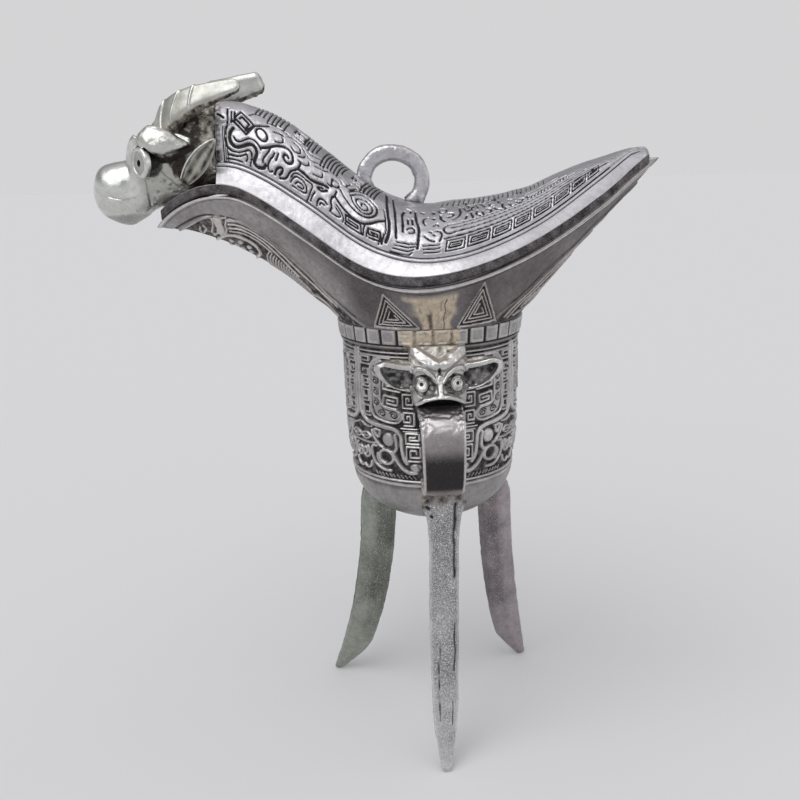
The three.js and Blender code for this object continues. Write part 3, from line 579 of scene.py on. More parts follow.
def belly_body(board):
    """The body: a broad hook with raised edges and small curls cut into it."""
    hook = [(13.2, 86.2), (13.7, 84), (13.75, 80.5), (13.6, 77.5), (13, 75.7), (11.2, 75.1), (8.9, 75.1)]
    board.curve(hook, 2.6, 0.62)
    board.curve([(12.4, 87), (14.1, 86), (14.85, 84.4), (15, 82), (15, 78), (14.9, 76), (14.2, 74.6),
                 (12.4, 74), (10, 73.65), (8.4, 73.9), (7.65, 74.9), (7.9, 75.9), (9, 76.4), (11, 76.6),
                 (12.2, 77.4), (12.5, 79), (12.4, 81.5), (12, 83.5), (10.8, 85), (9, 85.8)], 0.5)
    incised = Board(*BELLY_BOARD_EDGES)
    incised.scroll(12.2, 75.4, (0.95, 0.8), 1.4, 0.36, 0)
    incised.scroll(9.5, 75.2, (1.0, 0.8), 1.5, 0.36, 0.5)
    for v in (84.2, 82.0, 79.8, 77.6):
        incised.scroll(13.65, v, (0.85, 0.8), 1.5, 0.34, 1.0)
    board.height *= 1 - 0.85 * incised.height


def belly_ground(board):
    """Squared spirals between the raised forms, and a row of short strokes under them."""
    board.key(10.1, 77.95, 3.2, 2.3, 0.4, 0.78, 0.12)
    board.key(9.6, 81.7, 3.9, 2.6, 0.42, 0.8, 0.1)
    board.key(9.2, 84.1, 2.4, 1.0, 0.4, 0.7, 0.1)
    board.key(6.3, 78.4, 2.1, 2.8, 0.4, 0.75)
    board.key(6.3, 82.2, 2.3, 2.9, 0.4, 0.78, 0, True)
    board.key(6.4, 85.6, 2.4, 2.0, 0.4, 0.75)
    board.key(6.2, 74.7, 2.1, 2.7, 0.4, 0.72, 0, True)
    board.key(5.6, 70.6, 2.8, 2.2, 0.42, 0.78)
    board.key(5.5, 67.3, 2.9, 3.1, 0.42, 0.8)
    board.path([(4.4, 72.7), (8, 72.7)], 0.4)
    board.path([(4.4, 72.1), (7.6, 72.1)], 0.3)
    board.key(16.4, 86.0, 2.5, 1.5, 0.38, 0.7)
    board.key(11, 86.5, 2.4, 0.7, 0.35, 0.7)
    board.key(16.3, 83.6, 1.6, 1.2, 0.36, 0.7, 0, True)
    board.key(16.3, 81.4, 1.6, 1.5, 0.36, 0.7)
    board.key(16.25, 78.8, 1.5, 2.3, 0.36, 0.7, 0, True)
    board.key(16.2, 75.6, 1.7, 2.1, 0.36, 0.7)
    for k in range(11):
        u = 5.2 + 0.95 * k
        board.path([(u, 61.75), (u + 0.55, 62.35)], 0.28, 0.7)


def belly_board():
    board = Board(*BELLY_BOARD_EDGES)
    for part in (belly_ridges, belly_eye, belly_body, belly_ground):
        part(board)
    return board


def belly_fold(u):
    """Distance round the belly folded onto the drawn stretch, so that it repeats and mirrors."""
    u = np.abs(u)
    last_divider = FACE_REPEAT_U + DIVIDER_U
    repeated = np.where(u > FACE_REPEAT_U + STRAP_SIDE_U, u - FACE_REPEAT_U, u)
    u = np.where(u > last_divider, last_divider + DIVIDER_U - u, repeated)
    return np.where(u > DIVIDER_U, 2 * DIVIDER_U - u, u)


# The lid's ornament. u runs along the panel's border from the neck to the tail, v up from the border.
# Here strokes are cuts into a raised ground.
TAIL_PANEL_U = 42.4
PANEL_LENGTH = 92


def draw(board, width, *paths):
    for points in paths:
        board.curve(points, width)


def neck_figure(cut):
    """Nested waves and a turned square spiral behind the ox head, up to the dragon's eye."""
    draw(cut, 0.8, [(4.7, 6.9), (4.05, 5.9), (3.9, 4.6), (4.3, 3.7), (5.2, 3.3), (6.5, 3.8), (7.8, 4.6),
                    (8.8, 4.9), (9.55, 4.3), (9.45, 3.2), (9, 2.2), (8.95, 1.5), (9.8, 1.1), (11, 1.5),
                    (11.5, 2.3)])
    draw(cut, 0.4,
         [(4.75, 5.1), (5.3, 4.5), (6.2, 4.6), (7.2, 5.3), (8.3, 5.95), (9.4, 5.9), (10.2, 5.4), (10.6, 4.7)],
         [(3, 4.6), (3.2, 3.2), (4.2, 2.4), (5.5, 2.35), (6.8, 2.9), (7.8, 3.5), (8.4, 3.35), (8.45, 2.6),
          (8, 0.6)],
         [(3.3, 1.6), (5.4, 1.6), (6.5, 2.1), (7.3, 2.5), (7.45, 1.9), (7.1, 1.15)],
         [(3.2, 0.75), (6.3, 0.75)],
         [(4.3, 8), (4.4, 10.5)],
         [(5, 8.2), (5.05, 10.6)],
         [(1.6, 9.6), (2.8, 8.7)],
         [(3.5, 11.2), (3.6, 8.4), (3.3, 6.6)],
         [(8.2, 11.2), (9.2, 12.2), (10.6, 12.6)])
    for k in range(3):
        cut.path([(2.6 + 0.4 * k, 0), (2.55 + 0.3 * k, 7)], 0.22, 0.8)
    cut.key(6.9, 8.8, 3.6, 3.2, 0.4, 0.8, math.radians(-35))


def dragon_face(cut):
    """The round eye in its long field, the snout that curls back and the whiskers under it."""
    draw(cut, 0.5, [(7.4, 7.2), (8.6, 8.4), (9.3, 9.1), (10.2, 9.6), (11.6, 10.3), (12.6, 11)])
    cut.scroll(10.9, 8, 1.25, 1.0, 0.5, 0, False, 1.0)
    draw(cut, 0.6,
         [(10.7, 5.2), (11.7, 5.7), (12.8, 6.4), (13.6, 7), (14.6, 7.6), (15.6, 8.1), (16.7, 8.35),
          (17.6, 8.1), (18, 7.3), (17.9, 6.2), (17.2, 5.5), (16.4, 5.3), (15.8, 5.8), (16, 6.6),
          (16.6, 6.9), (17, 6.5)],
         [(13.5, 1.5), (13.9, 2.5), (14.6, 3.3), (15.4, 3.6), (15.2, 2.7), (14.6, 1.9)])
    draw(cut, 0.42,
         [(12.7, 6.1), (12.3, 5.2), (11.6, 4.2), (11, 3.2), (10.9, 2.5)],
         [(13.7, 5.7), (13.3, 4.8), (12.7, 4), (12.2, 3), (12, 2), (12.4, 1.45), (13.1, 1.9)],
         [(14.6, 6), (14.3, 5.1), (13.9, 4.3)],
         [(13.6, 10.1), (14.8, 10.6), (15.9, 10.7)],
         [(14, 8.2), (15.1, 8.6), (15.8, 9.3), (15.7, 10.2)],
         [(18.2, 10.9), (19.3, 10.6), (19.9, 9.9), (19.6, 9.1), (18.4, 8.8), (17.8, 9.4)])
    draw(cut, 0.5, [(19.8, 6.9), (19.2, 5.7), (18.4, 4.9), (17.5, 4.2), (16.9, 3.4), (16.4, 2.5),
                    (15.7, 1.8), (14.6, 1.3)])


def dragon_back(cut):
    """The oval key, the long wave over it and the curls that carry on to the big spiral."""
    draw(cut, 0.36,
         [(17.3, 2.9), (18.2, 4.1), (19.6, 4.6), (21.3, 4.3), (22.3, 4.4)],
         [(17.2, 1.9), (17.7, 2.8), (18.6, 3.7), (20, 3.8), (20.9, 3.1), (20.75, 1.8), (19.5, 1.4),
          (17.6, 1.45)],
         [(18.2, 2.1), (19, 2.9), (20.1, 2.8), (20, 2.1), (18.9, 2)],
         [(19.3, 7.3), (20.6, 7.2), (21.7, 7.8), (21.9, 8.6)],
         [(22.7, 6.6), (23.8, 6.9), (24.9, 7.4), (25.2, 8.4)],
         [(22.3, 4.4), (22.3, 3.6), (21.8, 2.5), (21.3, 1.3), (20.9, 0.4)],
         [(23, 3.2), (22.2, 2), (21.8, 0.9)],
         [(23.9, 1.3), (24.4, 2), (25.2, 2)],
         [(28.1, 3.9), (29.2, 3.2), (29.7, 2.2), (29.5, 1.4)],
         [(28, 3.2), (28.8, 2.6), (28.9, 2), (28, 1.6), (26.8, 1.5)])
    draw(cut, 0.75, [(19.3, 5.5), (20.6, 5.35), (22, 5.1), (23.5, 5.4), (25, 5.95), (26.3, 6.2)])
    draw(cut, 0.5,
         [(26.1, 5.5), (25.4, 4.9), (24.6, 4.4), (23.7, 4.35), (24.1, 4.8), (25, 5.2)],
         [(28.4, 6.8), (27.9, 5.6), (27.1, 4.6), (26.8, 3.6), (26.9, 2.6), (26.4, 1.6)],
         [(25.8, 2.6), (25, 2.9), (24, 2.5), (23.4, 1.6), (23.2, 0.8)],
         [(26.2, 7), (27, 7), (27.3, 7.8), (27.6, 9), (28.9, 9.1)],
         [(27.5, 7.4), (28.6, 7.8), (29.2, 8.6)])


def big_spiral(cut):
    """The dragon's hip: one large spiral with a sweep under it and squared keys along the border."""
    draw(cut, 0.6, [(28.1, 5.3), (29.4, 4.4), (31.3, 3.7), (33, 3.45), (34.6, 3.8), (36.2, 4.7),
                    (37.6, 5.7), (39, 6.4)])
    draw(cut, 0.5, [(29.3, 7.8), (30.2, 6.8), (31.4, 5.9), (33, 5.3), (34.7, 5.3), (36.1, 5.9), (37.2, 7),
                    (37.6, 8.4), (37.1, 9.8), (36, 10.6)])
    draw(cut, 0.45, [(31.8, 8.6), (32.2, 7.2), (33, 6.4), (34.4, 5.95), (35.7, 6.4), (36.5, 7.4), (36.5, 8.6),
                     (35.8, 9.3), (34.5, 9.3), (33.4, 8.7), (33, 7.8), (33.4, 7), (34.4, 6.6), (35.3, 7),
                     (35.6, 7.7), (35.1, 8.3), (34.3, 8.1), (34.2, 7.4)])
    draw(cut, 0.4,
         [(31.6, 8.2), (33.6, 10), (35.2, 10.9)],
         [(31.4, 8.9), (33.2, 10.7), (35.4, 11.8)],
         [(31.5, 9.6), (33.2, 11.4)],
         [(30.4, 3.1), (30.1, 1.4)],
         [(34.7, 3.6), (34.3, 2.5), (34.1, 1.3)],
         [(35.4, 3.4), (35, 2.2), (34.9, 1.5)],
         [(38, 3.2), (37.4, 1)],
         [(38.7, 3.3), (38, 1.2)])
    cut.key(32, 2.3, 3.4, 1.9, 0.36, 0.68)
    cut.key(36.7, 2.5, 2.6, 1.8, 0.36, 0.66, 0.1)


def crest_combs(cut):
    """Slanting cuts side by side from the figures up to the crest."""
    for k in [*range(7), *range(12, 17)]:
        u = 24.6 + 0.75 * k
        foot = 9.8 if u < 26 else 10.6 if u < 28.5 else 12.6 if u < 30.5 else 10 if u < 32 else 11.5
        cut.path([(u + 0.28 * (foot - 10), foot), (u + 0.28 * 5.5, 15.5), (u + 0.28 * 10, 20)], 0.42)
    cut.key(33.9, 14.4, 3.0, 3.4, 0.36, 0.72, -0.28)
    for k in [*range(8), *range(12, 16)]:
        u = 9.4 + 0.95 * k
        foot = 12.2 + 0.5 * math.sin(1.3 * k)
        cut.path([(u, foot), (u + 0.8, foot + 3), (u + 1.6, 20)], 0.4, 0.95)
    cut.key(20.3, 14.6, 3.2, 3.6, 0.36, 0.76, -0.26)
    draw(cut, 0.36,
         [(12.2, 11.5), (13.6, 12.0), (15.4, 12.1), (17.2, 12.0)],
         [(20.4, 10.8), (21.4, 9.8), (22.8, 9.5), (24.0, 10.1), (25.2, 10.4)],
         [(21.2, 11.8), (22.4, 10.9), (24.0, 11.4), (25.4, 12.1)],
         [(17.0, 11.4), (18.2, 11.9), (19.8, 11.7)],
         [(23.2, 8.6), (24.4, 9.0), (25.6, 9.4), (26.6, 10.2)],
         [(29.4, 10.4), (30.6, 9.6), (31.2, 10.6), (32.0, 11.6)],
         [(19.4, 8.3), (20.4, 8.7), (21.0, 9.4)])


def saddle_divider(cut):
    """Two upright bars across the saddle, the figure beside them, and nested corners at their foot."""
    draw(cut, 0.7, [(39.9, 17), (39.9, 14), (39.8, 10), (39.9, 6), (39.6, 3.6), (38.9, 1.9)])
    draw(cut, 0.55, [(41.3, 17), (41.3, 13), (41.3, 8), (41.1, 3.4)])
    draw(cut, 0.3, [(39.1, 9.5), (39.2, 5), (39, 3.6)])
    for k in range(4):
        cut.path([(39.7 + 0.5 * k, 0.45 + 0.72 * k), (43.4, 0.5 + 0.72 * k),
                  (44.1 + 0.3 * k, 1.1 + 0.6 * k)], 0.3)
    u = TAIL_PANEL_U
    draw(cut, 0.57,
         [(u + 0.9, 11.3), (u + 0.4, 10), (u + 0.3, 7.5), (u + 0.15, 5.2)],
         [(u + 3.1, 12.5), (u + 3, 9), (u + 3.3, 6.5), (u + 3.1, 4.5), (u + 2.7, 2)])
    draw(cut, 0.42,
         [(u + 1.4, 8.7), (u + 1.3, 7.3)],
         [(u + 2.2, 9), (u + 2.2, 7.4)],
         [(u + 1, 5.9), (u + 1.6, 6.4), (u + 2.3, 6.3), (u + 2.3, 5.4), (u + 1.4, 5.1)],
         [(u + 5.4, 10.2), (u + 4.6, 9.7), (u + 4.3, 8.6), (u + 4.6, 7.5)],
         [(u + 6.2, 7.4), (u + 6.9, 7.9), (u + 7.1, 7.2)],
         [(u + 6.5, 5.9), (u + 7.3, 5.5), (u + 7.5, 4.6), (u + 7, 3.4)],
         [(u + 5.2, 5.7), (u + 5.6, 5.5)],
         [(u + 5.9, 4.9), (u + 6.2, 4.8)],
         [(u + 4.2, 4.6), (u + 5, 3.8), (u + 6, 3.4)],
         [(u + 1.4, 13), (u + 2.2, 12.4), (u + 2, 11.2)])
    cut.dome(u + 6.4, 9.6, 0.4, 1.0, 0.4)
    cut.dome(u + 4.5, 12.2, 0.55, 1.0, 0.4)
    cut.dome(u + 6.6, 12.4, (0.4, 0.8), 1.0, 0.4)
    for k in range(3):
        cut.path([(u + 3.8, 1.2 + 0.7 * k), (u + 7, 1.3 + 0.7 * k)], 0.28)


def tail_keys(cut):
    """A row of nested oblongs along the border, which shrink towards the tail, under long lines."""
    spans = ((8, 11.6), (12.3, 16.8), (17.5, 21.6), (22.3, 26.2), (27, 31.4), (32.2, 36.4), (37.2, 41),
             (41.8, 45))
    for start, stop in spans:
        shrink = ease(start, 27, 46) * 0.45
        low, high = mix(1.2, 1.0, shrink), mix(3.3, 2.2, shrink)
        for inset in (0, 0.62):
            a, b, c, d = start + inset, stop - inset, low + inset, high - inset
            box = [(a, c), (b, c), (b + 0.4, d), (a + 0.4, d), (a, c)]
            cut.path([(TAIL_PANEL_U + x, y) for x, y in box], 0.34)
        middle = (low + high) / 2
        cut.path([(TAIL_PANEL_U + start + 1.2, middle), (TAIL_PANEL_U + stop - 0.8, middle)], 0.3, 0.9)


def tail_lines(cut):
    u = TAIL_PANEL_U
    draw(cut, 0.42, [(u + 8, 3.75), (u + 12, 3.95), (u + 30, 4.05), (u + 40, 3.2), (u + 48, 1.6)])
    draw(cut, 0.38,
         [(u + 10.5, 5), (u + 24, 5.1), (u + 36, 4.5), (u + 45, 2.9)],
         [(u + 9.5, 6.1), (u + 22, 6.2), (u + 33, 5.7), (u + 42, 4.3)],
         [(u + 9.5, 7), (u + 20, 7.1), (u + 30, 6.8), (u + 39, 5.8)],
         [(u + 26, 8.1), (u + 32, 7.9), (u + 37, 7)],
         [(u + 26.5, 9.6), (u + 31, 9.3), (u + 35, 8.6)])
    for k in range(13):
        cut.path([(u + 26.6 + 0.85 * k, 7.0 - 0.06 * k), (u + 26.9 + 0.85 * k, 7.9 - 0.07 * k)], 0.28)
    draw(cut, 0.42, [(u + 10.5, 5), (u + 8.8, 4.8), (u + 8, 5.8), (u + 8.4, 6.8), (u + 9.6, 7.1)])


def tail_figures(cut):
    """Broken dragon scrolls between the long lines and the crest, which fade out to the tail."""
    u = TAIL_PANEL_U
    cut.scroll(u + 8.5, 13.2, (0.8, 1.2), 1.0, 0.4, 0, False, 1.0)
    draw(cut, 0.55,
         [(u + 11.9, 13), (u + 11.9, 11.6), (u + 11.8, 10.4), (u + 11.1, 9.2), (u + 10.1, 8.6)],
         [(u + 20.9, 9.8), (u + 20.8, 8.2), (u + 21.3, 7.3)],
         [(u + 16.3, 13), (u + 17.1, 10.8)],
         [(u + 13.6, 13.4), (u + 14.4, 11.6), (u + 13.4, 10.6)])
    draw(cut, 0.54,
         [(u + 7.9, 11), (u + 7.8, 9.6), (u + 8.4, 8.5)],
         [(u + 9.4, 11.4), (u + 10.3, 10.8), (u + 10.2, 9.9), (u + 9.2, 9.8)],
         [(u + 12.9, 8.8), (u + 12.5, 7.9)],
         [(u + 13.9, 9.6), (u + 14.1, 7.6)],
         [(u + 15.3, 9.8), (u + 14.9, 8.6), (u + 15.6, 7.6)],
         [(u + 16.3, 9), (u + 16.4, 7.6)],
         [(u + 17.2, 8), (u + 18, 7.9), (u + 18, 9.2), (u + 17.2, 9.6)],
         [(u + 18.8, 9.4), (u + 19.4, 8.2), (u + 20.3, 7.6)],
         [(u + 18.4, 11.8), (u + 18.2, 10.6), (u + 19, 10.2)],
         [(u + 20.3, 12), (u + 20.4, 10.4)],
         [(u + 22.2, 8.6), (u + 22.6, 7.6)],
         [(u + 22.4, 10.6), (u + 23.2, 9.8), (u + 24.2, 10)],
         [(u + 23.8, 8.4), (u + 24.4, 7.5), (u + 25.4, 7.6), (u + 25.5, 8.4), (u + 24.7, 8.6)],
         [(u + 26.4, 9), (u + 26.8, 7.8)])
    cut.key(u + 14.2, 11.9, 2.6, 2.4, 0.36, 0.66, 0.25)
    cut.key(u + 18.6, 13.6, 2.8, 2.2, 0.36, 0.66, -0.2)
    cut.key(u + 24.4, 12.4, 3.0, 2.2, 0.36, 0.66, 0.15)
    cut.key(u + 12.2, 15.2, 2.8, 2.0, 0.36, 0.66, -0.15)
    for k in range(22):
        foot = 16 - 0.27 * k + 0.5 * math.sin(1.7 * k)
        cut.path([(u + 8.5 + 1.1 * k, foot), (u + 9.3 + 1.1 * k, foot + 3), (u + 9.8 + 1.1 * k, 20)],
                 0.34, 0.85)


def lid_board():
    cut = Board(-1.5, PANEL_LENGTH, -1.2, 21)
    cut.path([(2.5, 0.12), (PANEL_LENGTH, 0.12)], 0.34)
    for part in (neck_figure, dragon_face, dragon_back, big_spiral, crest_combs, saddle_divider,
                 tail_keys, tail_lines, tail_figures):
        part(cut)
    return cut


# Materials
class Shade:
    """The nodes of one material, with short ways to add what metals are made of."""

    def __init__(self, name):
        self.material = bpy.data.materials.new(name)
        self.material.use_nodes = True
        self.nodes = self.material.node_tree.nodes
        self.links = self.material.node_tree.links
        self.shader = self.nodes["Principled BSDF"]
        self.place = self.nodes.new("ShaderNodeTexCoord").outputs["Object"]

    def feed(self, socket, value):
        if isinstance(value, bpy.types.NodeSocket):
            self.links.new(value, socket)
        elif socket.type == "RGBA":
            socket.default_value = (*value, 1)
        else:
            socket.default_value = value

    def maths(self, operation, a, b):
        node = self.nodes.new("ShaderNodeMath")
        node.operation = operation
        node.use_clamp = True
        self.feed(node.inputs[0], a)
        self.feed(node.inputs[1], b)
        return node.outputs[0]

    def blend(self, factor, a, b, kind="MIX"):
        node = self.nodes.new("ShaderNodeMix")
        node.data_type = "RGBA"
        node.blend_type = kind
        for number, value in zip((0, 6, 7), (factor, a, b)):
            self.feed(node.inputs[number], value)
        return node.outputs[2]

    def spread(self, value, low, high, to_low=0.0, to_high=1.0):
        node = self.nodes.new("ShaderNodeMapRange")
        for name, number in (("From Min", low), ("From Max", high), ("To Min", to_low), ("To Max", to_high)):
            node.inputs[name].default_value = number
        self.feed(node.inputs["Value"], value)
        return node.outputs["Result"]

    def noise(self, scale, detail, roughness=0.6):
        node = self.nodes.new("ShaderNodeTexNoise")
        for name, value in (("Scale", scale), ("Detail", detail), ("Roughness", roughness)):
            node.inputs[name].default_value = value
        self.links.new(self.place, node.inputs["Vector"])
        return node.outputs["Fac"]

    def wear_and_painted_light(self):
        """The patina with painted shade, the polish with painted highlights, and the warmth, painted on the
        mesh.
        """
        painted = self.nodes.new("ShaderNodeAttribute")
        painted.attribute_name = "wear_and_painted_light"
        parts = self.nodes.new("ShaderNodeSeparateColor")
        self.links.new(painted.outputs["Color"], parts.inputs[0])
        return parts.outputs

    def bump(self, height, strength, distance):
        node = self.nodes.new("ShaderNodeBump")
        node.inputs["Strength"].default_value = strength
        node.inputs["Distance"].default_value = distance
        self.links.new(height, node.inputs["Height"])
        self.links.new(node.outputs["Normal"], self.shader.inputs["Normal"])


PATINA = (0.022, 0.019, 0.020)
BROWN_PATINA = (0.075, 0.052, 0.038)
BRAZE = (0.72, 0.63, 0.51)
BROWN_CAST = (0.62, 0.55, 0.50)


def cast_metal(name, colour, bright, rough, grain, depth=1.0, speckle=0.1):
    """White bronze with a dark patina in its grooves, a worn polish where it is rubbed, and cast grain; the
    patina and polish channels also carry the painted shade and painted highlights that some pieces add.
    """
    shade = Shade(name)
    patina_and_painted_shade, polish_and_painted_highlight, warmth = shade.wear_and_painted_light()
    fine, mottle, broad = shade.noise(4200, 3), shade.noise(900, 5), shade.noise(160, 3)
    pits = shade.spread(shade.noise(2600, 4, 0.7), 0.62, 0.72)
    base = shade.blend(polish_and_painted_highlight, colour, bright)
    base = shade.blend(shade.spread(mottle, 0.35, 0.75, 0, 0.34), base, tuple(0.5 * c for c in colour))
    grainy = shade.spread(polish_and_painted_highlight, 0.35, 0.9, speckle, 0.25 * speckle)
    dark_specks = shade.maths("MULTIPLY", shade.spread(fine, 0.62, 0.38), grainy)
    light_specks = shade.maths("MULTIPLY", shade.spread(fine, 0.55, 0.68), grainy)
    base = shade.blend(dark_specks, base, tuple(0.35 * c for c in colour))
    base = shade.blend(light_specks, base, (0.95, 0.95, 0.95))
    base = shade.blend(shade.spread(broad, 0.4, 0.7, 0, 0.2), base, BROWN_CAST, "MULTIPLY")
    warm = shade.maths("MULTIPLY", warmth, shade.spread(mottle, 0.3, 0.7, 0.6, 1.0))
    base = shade.blend(warm, base, BRAZE)
    speckled_patina_and_shade = shade.maths("ADD", patina_and_painted_shade, shade.spread(fine, 0.3, 0.7, -0.12, 0.12))
    dark = shade.maths("ADD", shade.spread(speckled_patina_and_shade, 0.25, 0.85), shade.maths("MULTIPLY", pits, grain))
    patina = shade.blend(warmth, PATINA, BROWN_PATINA)
    shade.feed(shade.shader.inputs["Base Color"], shade.blend(dark, base, patina))
    shade.feed(shade.shader.inputs["Metallic"], shade.spread(dark, 0, 1, 1.0, 0.35))
    gloss = shade.spread(mottle, 0.3, 0.7, rough - 0.06, rough + 0.08)
    gloss = shade.maths("ADD", gloss, shade.spread(polish_and_painted_highlight, 0, 1, 0.1, -0.08))
    dull = shade.maths("ADD", shade.spread(dark, 0, 1, 0, 0.3), shade.spread(warmth, 0, 1, 0, 0.25))
    shade.feed(shade.shader.inputs["Roughness"], shade.maths("ADD", gloss, dull))
    height = shade.maths("ADD", shade.maths("MULTIPLY", fine, grain), shade.maths("MULTIPLY", mottle, 0.6))
    shade.bump(height, 0.55 * depth, 0.00006)
    return shade.material


LID_METAL = cast_metal("lid_white_bronze", (0.50, 0.485, 0.50), (0.76, 0.755, 0.80), 0.33, 0.35)
CUP_METAL = cast_metal("cup_white_bronze", (0.29, 0.28, 0.275), (0.84, 0.82, 0.82), 0.34, 0.5)
# The mouth's wall is a much darker copy of the white bronze: painted shade, standing in for the dark
# reflection on this upright wall.
WALL_METAL_PAINTED_SHADE = cast_metal("wall_white_bronze_painted_shade", (0.15, 0.135, 0.138), (0.78, 0.75, 0.75), 0.4, 0.5)
STRAP_METAL = cast_metal("strap_cast_metal", (0.30, 0.275, 0.285), (0.76, 0.73, 0.74), 0.34, 0.5, 1.5, 0.2)
MASK_METAL = cast_metal("mask_white_bronze", (0.46, 0.45, 0.44), (0.86, 0.86, 0.85), 0.32, 0.4)
HEAD_METAL = cast_metal("head_white_bronze", (0.50, 0.50, 0.455), (0.86, 0.88, 0.86), 0.28, 0.3)
GREY_LEG_METAL = cast_metal("grey_leg_metal", (0.46, 0.455, 0.47), (0.82, 0.82, 0.84), 0.32, 0.3, 5.0, 0.9)
# The spout-side and tail-side legs are darker copies of the leg metal tinted green and pink: painted coloured
# light and painted shade.
LEG_METAL_PAINTED_GREEN_LIGHT = cast_metal("leg_metal_painted_green_light", (0.165, 0.18, 0.155), (0.42, 0.44, 0.39), 0.42, 0.5, 2.5, 0.4)
LEG_METAL_PAINTED_PINK_LIGHT = cast_metal("leg_metal_painted_pink_light", (0.2, 0.178, 0.188), (0.48, 0.43, 0.45), 0.38, 0.4, 2.5, 0.3)


# Per point: patina with painted shade, polish with painted highlights, and warmth.
def wear_and_painted_light_of(shape, patina_and_painted_shade=0.0, polish_and_painted_highlight=0.0, warmth=0.0):
    wear_and_painted_light = np.zeros(shape + (3,))
    for k, value in enumerate((patina_and_painted_shade, polish_and_painted_highlight, warmth)):
        wear_and_painted_light[..., k] = value
    return wear_and_painted_light


# Cup: rings from the bottom's middle up the outside, over the top of the band and down the inside
BOTTOM_SHARE = 0.945
RELIEF_LOW_Z = 59.9
BAND_RING_LOW_Z = 88.5
BAND_RING_Z = 88.95
BRICK_LENGTH = 3.437


def cup_profile():
    """The cup's profile as (radius, height), and how many of its rows are on the outside."""
    swing = np.linspace(0.03, math.pi / 2, 44)
    bottom_radius = BOTTOM_SHARE * BELLY_RADIUS
    bowl = np.stack([bottom_radius * np.sin(swing), TURN_Z - ROUND_BOTTOM_HEIGHT * np.cos(swing)], -1)
    low, high = mix(TURN_Z, BAND_BOTTOM_Z, 0.3), mix(TURN_Z, BAND_BOTTOM_Z, 0.62)
    swell = through((TURN_Z, BOTTOM_SHARE), (low, 0.985), (high, 1), (BAND_BOTTOM_Z, 1))
    wall_z = np.arange(TURN_Z + 0.13, BAND_BOTTOM_Z, 0.13)
    wall = np.stack([BELLY_RADIUS * swell(wall_z), wall_z], -1)
    band_z = np.linspace(BAND_BOTTOM_Z, BAND_TOP_Z, 40)
    step = through((BAND_BOTTOM_Z, BELLY_RADIUS), (BAND_BOTTOM_Z + 0.5, BELLY_RADIUS + 0.5),
                   (BAND_TOP_Z, SHOULDER_RADIUS))
    band = np.stack([step(band_z), band_z], -1)
    top = [(SHOULDER_RADIUS - 0.5, BAND_TOP_Z + 0.4), (SHOULDER_RADIUS - CUP_WALL, BAND_TOP_Z + 0.4)]
    inside = [(BELLY_RADIUS - CUP_WALL, z) for z in np.linspace(BAND_BOTTOM_Z, TURN_Z, 12)]
    back = np.linspace(math.pi / 2, 0.03, 16)
    room, depth = BELLY_RADIUS - CUP_WALL, ROUND_BOTTOM_HEIGHT - CUP_WALL
    floor = np.stack([0.94 * room * np.sin(back), TURN_Z - depth * np.cos(back)], -1)
    return np.vstack([bowl, wall, band, top, inside, floor]), len(bowl) + len(wall) + len(band)


def bricks(u, z):
    """Heights on the band: its thick ring below, and the bricks with their sunk middles."""
    ring = np.clip(1 - ((z - BAND_RING_Z) / 0.5) ** 2, 0, 1)
    along = (u / BRICK_LENGTH + 0.29) % 1
    side = np.minimum(along, 1 - along) * BRICK_LENGTH
    middle = ease(side, 0.6, 0.95) * ease(z, 90.0, 90.4) * ease(z, 92.3, 91.9)
    block = ease(side, 0.16, 0.42) * ease(z, 89.6, 89.85) * ease(z, 92.9, 92.65)
    return ring, block * (1 - 0.45 * middle), block


